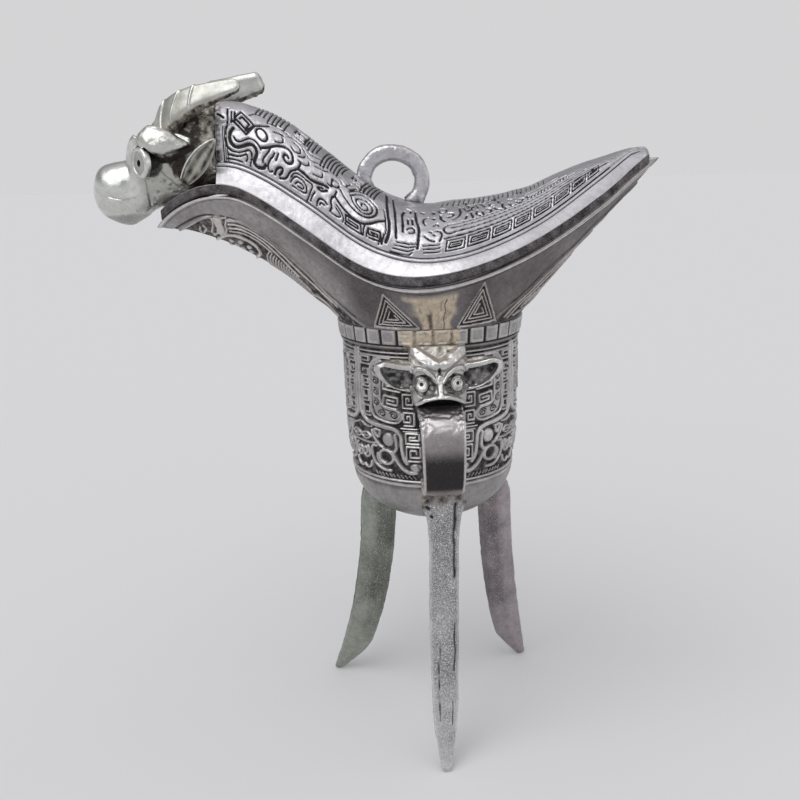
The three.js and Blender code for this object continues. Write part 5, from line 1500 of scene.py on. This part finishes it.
def mask_boards():
    """What stands up from the mask's face, and what sinks into it, drawn in x and z."""
    up, down = Board(-13.5, 13.5, 76, 91.5), Board(-13.5, 13.5, 76, 91.5)
    for side in (-1, 1):
        brow = mirrored(side, (5.0, 89.5), (3.9, 88.7), (2.2, 87.6), (0.75, 86.75))
        up.curve(brow, 2.5)
        lid_ridge = mirrored(side, (5.3, 85.3), (4.3, 86.1), (3.1, 86.0), (1.8, 85.1), (0.8, 83.7))
        up.curve(lid_ridge, 1.15, 0.9)
        up.dome(side * MASK_EYE_X, MASK_EYE_Z, 1.4, 1.0, 0.4)
        up.scroll(side * MASK_EYE_X, MASK_EYE_Z, 0.86, 1.0, 0.34, 0, False, 1.0, 1.25)
        down.dome(side * (MASK_EYE_X - 0.5), MASK_EYE_Z - 0.15, (2.25, 1.95), 1.0, 0.35)
        leaf = mirrored(side, (5.6, 86.2), (7.6, 86.5), (10.0, 87.1), (11.3, 87.0), (11.6, 86.0),
                        (10.6, 83.9), (9.2, 82.4), (7.6, 81.6), (5.9, 81.5))
        up.curve(leaf, 1.5, 0.95)
        ear_hollow = ((6.2, 83.9, 1.7), (7.4, 84.2, 1.8), (8.6, 84.8, 1.5), (9.6, 85.5, 1.1),
                      (10.3, 86.0, 0.8))
        for x, z, radius in ear_hollow:
            down.dome(side * x, z, radius, 1.0, 0.4)
    up.path([(0, 84.5), (0, 81.6)], 1.35, 0.95)
    lip = [(-5.1, 78.9), (-4.0, 80.1), (-2.4, 80.95), (0, 81.25), (2.4, 80.95), (4.0, 80.1), (5.1, 78.9)]
    up.curve(lip, 1.0, 0.95)
    down.path([(-0.05, 86.0), (0.05, 85.3)], 0.6, 0.6)
    return up, down


def mask_block():
    """The mask's plain mass and its two ears, before its features are raised and sunk."""
    half = MASK_WIDTH / 2
    floor = BAND_TOP_Z - MASK_TOP_DROP - MASK_HEIGHT
    wide = through((0, 0.88), (0.08, 0.96), (0.22, 0.98), (0.34, 0.94), (0.55, 0.98), (0.74, 1.04), (1, 1.0))
    deep = through((0, 0.86), (0.08, 0.96), (0.22, 1), (0.36, 0.8), (0.55, 0.66), (0.74, 0.6),
                   (0.86, 0.44), (1, 0.3))
    up = np.linspace(0, 1, 40)
    front = mix(-BELLY_RADIUS, -(BELLY_RADIUS + MASK_DEPTH), deep(up))
    back = 3 - BELLY_RADIUS
    centres = np.stack([0 * up, (front + back) / 2, floor + MASK_HEIGHT * up], -1)
    sideways, forward = np.array([1.0, 0, 0]), np.array([0, -1.0, 0])
    parts = [swept(centres, sideways, forward, half * wide(up), (back - front) / 2, 64, 3.2)]
    for side in (-1, 1):
        t = np.linspace(0, 1, 30)
        spine = mix(np.array([side * 4.4, -20.2, 83.7]), np.array([side * 12.3, -21.3, 86.6]), t[:, None])
        blade = np.array([-0.3 * side, 0.0, 0.95])
        outward = np.array([side * 0.15, -0.98, 0.04])
        size = through((0, 2.8), (0.35, 2.9), (0.6, 2.5), (0.82, 1.7), (0.95, 0.9), (1, 0.4))(t)
        parts.append(swept(spine, blade, outward, size, np.minimum(1.1, 0.6 * size), 48, 2.6))
    return fused("handle_mask", [p + np.array([HANDLE_X, 0, 0]) for p in parts], 0.13, 3)


def mask():
    mesh, points = mask_block()
    n = mesh_normals(mesh)
    x, y, z = points[:, 0] - HANDLE_X, points[:, 1], points[:, 2]
    raised, sunk = (board.sample(x, z) for board in mask_boards())
    facing = ease(n[:, 1], -0.15, -0.5)
    sunk = sunk * facing
    forward = (0.85 * raised - 0.95 * sunk) * facing
    mouth_shape = np.hypot(x / 5.0, (z - 78.3) / 2.35)
    mouth = ease(mouth_shape, 1.04, 0.88) * ease(y, -20.2, -21.4)
    pupil = ease(np.hypot(np.abs(x) - MASK_EYE_X, z - MASK_EYE_Z), 0.42, 0.25) * facing
    forward = forward * (1 - mouth) - 3.2 * mouth - 0.3 * pupil
    rough = ease(z, 86.6, 87.4) * (1 - raised) * facing
    push = 0.045 * noise(points, 1.2, 2) + (0.16 * rough + 0.1 * raised) * noise(points, 0.8, 2)
    points = points + n * push[:, None]
    points[:, 1] -= forward
    set_points(mesh, points)
    low = 1 - np.clip(raised * 1.4, 0, 1)
    hollow = ease(sunk * low, 0.08, 0.5) * (0.72 + 0.3 * noise(points, 0.8, 2))
    # Painted shadow: the mask's deep mouth is painted near black.
    patina_and_painted_shade = np.maximum.reduce([0.98 * mouth, pupil, hollow])
    patina_and_painted_shade = np.maximum(patina_and_painted_shade, 0.8 * ease(points[:, 1], -20.4, -19.4) * low)
    patina_and_painted_shade = np.maximum(patina_and_painted_shade, rough * (0.3 + 0.5 * noise(points, 0.8, 2)))
    patina_and_painted_shade = np.maximum(patina_and_painted_shade, 0.16 + 0.22 * noise(points, 1.5, 2))
    polish_and_painted_highlight = np.clip(0.22 + 0.34 * raised + 0.2 * noise(points, 3), 0, 1)
    wear_and_painted_light = np.stack([patina_and_painted_shade, polish_and_painted_highlight, 0.35 * rough], -1)
    finish_piece(mesh, "handle_mask", wear_and_painted_light, MASK_METAL, "vessel", ["handle_mask"])


def ring():
    middle = RING_RADIUS - RING_THICKNESS / 2
    height = float(lid_edge_height(RING_X) + crest_rise(RING_X) + RING_LIFT)
    turn = np.linspace(-0.3, 1.08, 300) * math.pi
    out = np.stack([np.cos(turn), 0 * turn, np.sin(turn)], -1)
    path = np.array([RING_X, 0, height]) + out * (middle + 0.14 * np.sin(3 * turn + 0.6))[:, None]
    feet = np.maximum(ease(turn, -0.1 * math.pi, -0.26 * math.pi), ease(turn, 0.94 * math.pi, 1.05 * math.pi))
    wide, thick = RING_WIDTH / 2 + 0.4 * feet, RING_THICKNESS / 2 + 0.3 * feet
    grid = swept(path, np.array([0, 1.0, 0]), out, wide, thick, 72, 3)
    n = outward_normals(grid)
    grid = grid + n * (0.12 * noise(grid, 2.2, 2) + 0.035 * noise(grid, 0.5, 2))[..., None]
    patina_and_painted_shade = 0.12 + 0.3 * noise(grid, 1.0, 3) + 0.5 * feet[:, None]
    polish_and_painted_highlight = 0.6 + 0.4 * noise(grid, 2.5, 2)
    wear_and_painted_light = wear_and_painted_light_of(patina_and_painted_shade.shape, patina_and_painted_shade, polish_and_painted_highlight)
    tube_piece("lid_ring", grid, wear_and_painted_light, LID_METAL, "lid", ["lid_ring"])


# Ox head
HEAD_BACK_X = -NECK_END - 0.4 - SEAT_GAP
HEAD_TIP_X = HEAD_BACK_X - HEAD_LENGTH
HEAD_BACK_Z = float(lid_edge_height(-NECK_END)) + NECK_MIDDLE
OX_EYE_ALONG = 0.48
OX_EYE_UP = -0.2
OX_EYE_OUT = 0.92


def head_point(along, up, out=0.0):
    return np.array([HEAD_TIP_X + HEAD_LENGTH * along, HEAD_HALF_WIDTH * out, HEAD_BACK_Z + HEAD_HEIGHT * up])


def unit(*values):
    return np.array(values, float) / np.linalg.norm(values)


def head_trunk():
    """The head's main mass, from the muzzle's tip to the neck."""
    middle = through((0, -0.58), (0.06, -0.556), (0.26, -0.575), (0.34, -0.515), (0.39, -0.385),
                     (0.465, -0.27), (0.585, -0.19), (0.745, -0.118), (0.905, -0.035), (1, 0))
    tall = through((0, 0.06), (0.012, 0.15), (0.06, 0.31), (0.16, 0.4), (0.26, 0.435), (0.34, 0.435),
                   (0.39, 0.52), (0.465, 0.54), (0.585, 0.558), (0.745, 0.556), (0.905, 0.528), (1, 0.51))
    wide = through((0, 0.12), (0.012, 0.3), (0.06, 0.57), (0.16, 0.76), (0.26, 0.82), (0.34, 0.79),
                   (0.465, 0.84), (0.745, 0.9), (0.905, 0.95), (1, 0.96))
    along = np.concatenate([np.linspace(0, 0.06, 14, endpoint=False), np.linspace(0.06, 1.02, 60)])
    z = HEAD_BACK_Z + HEAD_HEIGHT * middle(along)
    centres = np.stack([HEAD_TIP_X + HEAD_LENGTH * along, 0 * along, z], -1)
    sizes = HEAD_HALF_WIDTH * wide(along), HEAD_HEIGHT * tall(along)
    return swept(centres, np.array([0, 1.0, 0]), np.array([0, 0, 1.0]), *sizes, 64, 2.35)


def head_brow(side):
    """A leaf-shaped brow over the eye, and the ridge that comes down in front of the eye."""
    spine = smooth_path([(-55.4, side * 6.9, 129.0), (-53.0, side * 7.9, 129.3), (-50.2, side * 8.2, 128.9),
                         (-47.6, side * 7.9, 128.3), (-45.6, side * 7.4, 128.0)], 0.25)
    share = np.linspace(0, 1, len(spine))
    tall = through((0, 1.1), (0.2, 2.5), (0.4, 2.75), (0.65, 2.1), (0.88, 0.9), (1, 0.25))(share)
    upward, outward = unit(0, -side * 0.35, 0.94), unit(0, side, 0.35)
    leaf = swept(spine, upward, outward, tall, np.minimum(1.5, tall), 48, 2.2)
    front = smooth_path([(-55.2, side * 6.7, 129.6), (-56.3, side * 6.4, 128.6), (-57.1, side * 5.9, 127.2),
                         (-57.7, side * 5.4, 125.7), (-57.9, side * 5.0, 124.6)], 0.25)
    size = np.linspace(1.25, 0.75, len(front))
    ridge = swept(front, unit(0.8, 0, -0.6), unit(0, side, 0), size, size, 32)
    return [leaf, ridge]


def head_lines():
    """Lines cut in the side of the head, drawn in x and z."""
    board = Board(-67, -39, 111, 137)
    board.curve([(-54.0, 127.2), (-52.9, 126.1), (-51.1, 125.5), (-49.2, 125.8), (-47.2, 126.7),
                 (-45.4, 127.6)], 1.3)
    board.curve([(-52.6, 132.6), (-50.4, 131.9), (-47.6, 130.9), (-45.2, 129.8)], 1.25)
    board.curve([(-55.0, 122.0), (-54.8, 120.0), (-54.9, 117.4), (-55.7, 114.6)], 0.45, 0.45)
    board.curve([(-62.3, 119.1), (-60.9, 118.7), (-59.2, 118.5), (-57.1, 118.8)], 0.4, 0.4)
    board.curve([(-52.2, 124.2), (-51.2, 122.8), (-50.0, 121.7), (-48.8, 120.2)], 0.4, 0.5)
    return board


def head():
    mesh, points = fused("ox_head", [head_trunk(), *head_brow(-1), *head_brow(1)], 0.16, 4)
    n = mesh_normals(mesh)
    x, side, z = points[:, 0], np.abs(points[:, 1]), points[:, 2]
    cut = head_lines().sample(x, z) * ease(side, 3.0, 4.6)
    behind_eye = np.stack([x - 0.9, side, z + 0.2], -1) - head_point(OX_EYE_ALONG, OX_EYE_UP, OX_EYE_OUT)
    # Painted shadow: a dark patch round and behind the eye, where the eye's disc shades the head.
    socket = ease(np.linalg.norm(behind_eye, axis=1) + 0.3 * noise(points, 1.2, 2), 2.9, 2.2)
    edge = x + 0.72 * (z - 125.2) + 51.2 + 0.9 * noise(points, 1.4, 2)
    hollow = ease(edge, 0, 1.2) * ease(z, 127.5, 126.0)
    temple = ease(x, -51.5, -49.0) * ease(z, 130.2, 131.4) * ease(side, 3.2, 4.6)
    behind = ease(x, -46.4, -45.0) * ease(z, 125, 127)
    rough = np.maximum.reduce([hollow, temple, behind]) * ease(z, 117.2, 118.6)
    specks = ease(noise(points, 0.8, 3), 0.3, 0.8)
    cheek = ease(x, -56.5, -52.5) * ease(z, 126, 124.6) * (1 - rough)
    # Painted shade: the downward-facing underside of the chin is darkened.
    chin_underside_shade = ease(z, 116.4, 115.0) * ease(n[:, 2], 0.0, -0.5)
    muzzle = ease(x, -54.6, -57.0)
    push = -0.42 * cut - 0.14 * specks * cheek + 0.34 * rough * noise(points, 1.0, 3)
    push += 0.04 * noise(points, 3, 2) + 0.05 * (1 - muzzle) * noise(points, 0.7, 2)
    set_points(mesh, points + n * push[:, None])
    collar = ease(x, -44.5, -42.5)
    dirt = rough * (0.9 - 0.34 * collar + 0.32 * noise(points, 0.8, 3))
    patina_and_painted_shade = np.maximum.reduce([cut, 0.75 * socket, dirt, 0.5 * specks * cheek])
    patina_and_painted_shade = np.maximum.reduce([patina_and_painted_shade, 0.5 * chin_underside_shade, 0.1 + 0.12 * noise(points, 2, 2) + 0.1 * (1 - muzzle)])
    brow_shine = 0.42 * ease(z, 126.2, 127.6) * (1 - rough)
    polish_and_painted_highlight = np.clip(0.16 + 0.55 * muzzle + brow_shine + 0.2 * noise(points, 3), 0, 1)
    wear_and_painted_light = np.stack([patina_and_painted_shade, polish_and_painted_highlight, 0.36 * rough], -1)
    finish_piece(mesh, "ox_head", wear_and_painted_light, HEAD_METAL, "lid", ["ox_head"])


def horn_path(side, lift):
    root = head_point(0.61, 0.17)
    stations = np.array([(0, 0.39, 0), (0.14, 0.59, 0.41), (0.41, 0.8, 0.7), (0.71, 0.93, 0.86), (1, 1, 1)])
    reach = np.array([HORN_LENGTH + lift, side * HORN_SPREAD, HORN_RISE + lift])
    return smooth_path(np.array([root[0], 0, root[2]]) + reach * stations, 0.1)


def horn_section(columns=96):
    """A blade's section with a flat outer face and a sharp lower edge, as (outwards, upwards)."""
    corners = [(-0.5, 1), (0.2, 0.96), (0.66, 0.3), (1, -0.5), (0.6, -0.95), (-0.5, -1), (-1, -0.4),
               (-1, 0.5)]
    ring = smooth_path(corners, 0.02, closed=True)[:-1]
    run = np.r_[0, np.cumsum(np.linalg.norm(np.diff(np.vstack([ring, ring[:1]]), axis=0), axis=1))]
    place = np.linspace(0, run[-1], columns, endpoint=False)
    closed = np.vstack([ring, ring[:1]])
    return np.interp(place, run, closed[:, 0]), np.interp(place, run, closed[:, 1])


def horn(name, side, lift, tip):
    path = horn_path(side, lift)
    ahead = np.gradient(path, axis=0)
    ahead /= np.linalg.norm(ahead, axis=1, keepdims=True)
    flat = np.stack([ahead[:, 1], -ahead[:, 0], 0 * ahead[:, 0]], -1)
    flat *= (np.sign(flat[:, 1]) * side / np.linalg.norm(flat, axis=1))[:, None]
    up = np.cross(flat, ahead)
    up *= np.sign(up[:, 2:3])
    t = np.linspace(0, 1, len(path))[:, None]
    size = mix(tip, 1, (1 - t) ** 0.8) * np.sqrt(np.clip(1 - np.maximum(0, (t - 0.95) / 0.052) ** 2, 0.1, 1))
    out, high = horn_section()
    thick, deep = HORN_THICKNESS / 2 * size * out, HORN_DEPTH / 2 * size * high
    grid = path[:, None] + flat[:, None] * thick[..., None] + up[:, None] * deep[..., None]
    n = outward_normals(grid)
    outer_face = ease(out, -0.6, 0.1) * ease(high, -0.75, -0.5)
    ribs = np.zeros(grid.shape[:2])
    for low_end, high_end in ((0.03, 0.25), (0.2, 0.42), (0.45, 0.57)):
        slant = mix(low_end, high_end, (high + 1) / 2)
        ribs = np.maximum(ribs, np.clip(1 - ((t - slant) / 0.016) ** 2, 0, 1))
    ribs = ribs * outer_face
    # The horn's underside, and its lower side near the root, are roughened and darkened: painted shade under
    # the horn together with its rough cast surface.
    under = ease(high, -0.62, -0.85) + 0 * t
    near_root = ease(t, 0.3, 0.0) * ease(high, -0.2, -0.6)
    rough = np.clip(under + near_root, 0, 1)
    push = 0.2 * ribs + 0.05 * noise(grid, 2.5, 2) + 0.2 * rough * noise(grid, 0.9, 3)
    grid = grid + n * push[..., None]
    patina_and_painted_shade = np.maximum(rough * (0.6 + 0.4 * noise(grid, 1.1, 3)), 0.12 + 0.16 * noise(grid, 2, 3))
    patina_and_painted_shade = np.maximum(patina_and_painted_shade, 0.5 * ease(t, 0.1, 0.0))
    polish_and_painted_highlight = 0.16 + 0.8 * ribs + 0.25 * noise(grid, 4) + 0.2 * ease(t, 0.55, 0.8) - 0.3 * rough
    wear_and_painted_light = wear_and_painted_light_of(patina_and_painted_shade.shape, patina_and_painted_shade, polish_and_painted_highlight, 0.4 * rough)
    tube_piece(name, grid, wear_and_painted_light, HEAD_METAL, "lid", [name])


def ear(name, side):
    root = head_point(0.782, -0.45, side * 0.98)
    tilt, across = unit(0.657, side * 0.286, 0.705), unit(0.72, 0, -0.67)
    out = np.cross(across, tilt)
    out *= np.sign(out[1] * side) / np.linalg.norm(out)
    t = np.linspace(0, 1, 140)
    wide = np.maximum(0.12, np.sin(math.pi * (0.14 + 0.84 * t)) ** 0.8)
    path = root + tilt * (EAR_LENGTH * t)[:, None]
    thick = EAR_THICKNESS / 2 * np.maximum(0.45, wide)
    grid = swept(path, across, out, EAR_WIDTH / 2 * wide, thick, 96, 2.3, EAR_THICKNESS * 0.8 * wide)
    n = outward_normals(grid)
    turn = np.linspace(0, 2 * math.pi, 96, endpoint=False)[None, :]
    cup = ease(np.sin(turn), 0.4, 0.7) * ease(t, 0.98, 0.88)[:, None]
    rim = ease(np.cos(turn), -0.3, -0.7) * ease(np.sin(turn), -0.3, 0.1) * (1 - cup)
    flutes = np.sin(9.5 * np.cos(turn) + 2 * t[:, None]) * cup
    grid = grid + n * (0.05 * noise(grid, 1.4, 2) - 0.2 * cup + 0.1 * flutes + 0.16 * rim)[..., None]
    patina_and_painted_shade = cup * (0.5 - 0.22 * flutes + 0.25 * noise(grid, 1.0, 2))
    patina_and_painted_shade = np.clip(np.maximum(patina_and_painted_shade, 0.12 + 0.5 * ease(t, 0.1, 0)[:, None]) - 0.5 * rim, 0, 1)
    wear_and_painted_light = wear_and_painted_light_of(patina_and_painted_shade.shape, patina_and_painted_shade, np.clip(rim + 0.4 * (1 - cup), 0, 1), 0.12 * cup)
    tube_piece(name, grid, wear_and_painted_light, HEAD_METAL, "lid", [name])


def eye(name, side):
    """A coin of an eye with a drilled pupil, on a stem that runs into the head."""
    axis = np.array([-math.cos(math.radians(42)), side * math.sin(math.radians(42)), 0])
    centre = head_point(OX_EYE_ALONG, OX_EYE_UP, side * OX_EYE_OUT)
    flat = np.array([-axis[1], axis[0], 0])
    turn = np.linspace(0, 2 * math.pi, 96, endpoint=False)
    radii = (EYE_RADIUS * 0.5, EYE_RADIUS * 0.5, EYE_RADIUS * 0.94, EYE_RADIUS, EYE_RADIUS, EYE_RADIUS * 0.93)
    heights = (-EYE_DEPTH * 2, -0.1, 0.0, 0.2, EYE_DEPTH * 0.75, EYE_DEPTH)
    face = [(EYE_RADIUS * 0.76, EYE_DEPTH), (EYE_RADIUS * 0.66, EYE_DEPTH * 0.86), (0.7, EYE_DEPTH * 0.9)]
    pupil = [(0.56, EYE_DEPTH * 0.84), (0.5, EYE_DEPTH * 0.4), (0.15, EYE_DEPTH * 0.3)]
    rings = smooth_path([*zip(radii, heights), *face, *pupil], 0.05)
    radius, along = rings[:, :1], rings[:, 1:]
    circle = flat * np.cos(turn)[:, None] + np.array([0, 0, 1.0]) * np.sin(turn)[:, None]
    grid = centre + circle * radius[..., None] + axis * along[..., None]
    grid = grid + 0.05 * noise(grid, 1.5, 2)[..., None] * axis
    # The drilled pupil is dark; the stem and the base of the disc are painted dark, patina together with
    # painted shade under the disc's undercut.
    patina_and_painted_shade = np.where((radius < 0.6) & (along > 0), 0.95, np.where(along < 0.1, 0.9, 0.1))
    patina_and_painted_shade = patina_and_painted_shade + 0.08 * noise(grid, 1.2, 2)
    polish_and_painted_highlight = 0.15 + 0.7 * ease(radius, EYE_RADIUS * 0.66, EYE_RADIUS * 0.76)
    wear_and_painted_light = wear_and_painted_light_of(patina_and_painted_shade.shape, patina_and_painted_shade, polish_and_painted_highlight)
    tube_piece(name, grid, wear_and_painted_light, HEAD_METAL, "lid", [name])


cup()
mouth()
leg("leg_handle_side", GREY_LEG_METAL, angle=-91.5, root=18, lean=1.2, reach=0.87,
    seams=[(0.6, 39.6, 57, 0.5), (0.64, 19.6, 30.8, 0.32), (0.58, 8.6, 14.6, 0.26), (-0.42, 9.4, 26.8, 0.24)],
    holes=[(-0.8, 55.2, 0.55), (-0.7, 53.4, 0.45)])
leg("leg_tail_side", LEG_METAL_PAINTED_PINK_LIGHT, angle=32, root=21.6, lean=0, seams=[(0.75, 12, 40, 0.12)], filed=1.0)
leg("leg_spout_side", LEG_METAL_PAINTED_GREEN_LIGHT, angle=152.5, root=17.4, lean=0.4,
    seams=[(0.7, 20, 44, 0.14)], holes=[(0.1, 52.0, 0.6)])
strap()
mask()
lid()
lid_lip()
ring()
head()
for name, side, lift, tip in (("near", -1, 0.0, 0.3), ("far", 1, FAR_HORN_LIFT, 0.6)):
    horn("ox_horn_" + name, side, lift, tip)
    ear("ox_ear_" + name, side)
    eye("ox_eye_" + name, side)


# Floor, light and camera
PALE = (0.66, 0.66, 0.67)
FLOOR = (0.72, 0.72, 0.73)


def plain_floor():
    bpy.ops.mesh.primitive_circle_add(vertices=96, radius=30, fill_type="NGON")
    floor = bpy.context.object
    floor.name = "floor"
    material = bpy.data.materials.new("pale_floor")
    material.use_nodes = True
    shader = material.node_tree.nodes["Principled BSDF"]
    shader.inputs["Base Color"].default_value = FLOOR + (1,)
    shader.inputs["Roughness"].default_value = 1.0
    shader.inputs["Specular IOR Level"].default_value = 0.0
    floor.data.materials.append(material)


def studio_world():
    """A pale room: as bright as the floor low down, darker above the backdrop, and bright overhead."""
    world = bpy.data.worlds.new("studio")
    bpy.context.scene.world = world
    world.use_nodes = True
    tree = world.node_tree
    direction = tree.nodes.new("ShaderNodeTexCoord")
    split = tree.nodes.new("ShaderNodeSeparateXYZ")
    ramp = tree.nodes.new("ShaderNodeValToRGB")
    tree.links.new(direction.outputs["Generated"], split.inputs[0])
    tree.links.new(split.outputs["Z"], ramp.inputs[0])
    tree.links.new(ramp.outputs[0], tree.nodes["Background"].inputs["Color"])
    stops = ramp.color_ramp.elements
    stops[0].position, stops[1].position = 0.0, 1.0
    for position in (0.24, 0.36, 0.58, 0.74):
        stops.new(position)
    for stop, level in zip(stops, (1.0, 1.0, 0.5, 0.42, 0.9, 1.0)):
        stop.color = tuple(level * share for share in PALE) + (1,)


def soft_sun(name, place, spread, strength):
    """A distant soft lamp, so that the whole floor is lit alike."""
    data = bpy.data.lights.new(name, "SUN")
    data.angle = math.radians(spread)
    data.energy = strength
    lamp = bpy.data.objects.new(name, data)
    bpy.context.scene.collection.objects.link(lamp)
    lamp.rotation_euler = (-Vector(place)).to_track_quat("-Z", "Y").to_euler()


def photo_camera():
    """A camera where the photograph was taken from, in millimetres about the belly's axis."""
    place = np.array([-14.54, -168.78, 120.56])
    right = (0.99807, -0.05398, -0.03081)
    up = (0.04401, 0.26376, 0.96358)
    forward = np.array([0.04388, 0.96308, -0.26563])
    pose = np.eye(4)
    pose[:3, 0], pose[:3, 1], pose[:3, 2] = right, up, -forward
    pose[:3, 3] = (place + SHIFT) / 1000
    camera = bpy.data.objects.new("camera", bpy.data.cameras.new("camera"))
    bpy.context.scene.collection.objects.link(camera)
    camera.data.lens = camera.data.sensor_width = 36
    camera.data.clip_start = 0.01
    camera.matrix_world = Matrix(pose.tolist())
    bpy.context.scene.camera = camera


plain_floor()
studio_world()
soft_sun("key", (-0.55, -0.55, 1.0), 62, 1.3)
soft_sun("fill", (0.9, -0.5, 0.8), 80, 0.45)
photo_camera()
bpy.context.scene.view_settings.view_transform = "Standard"
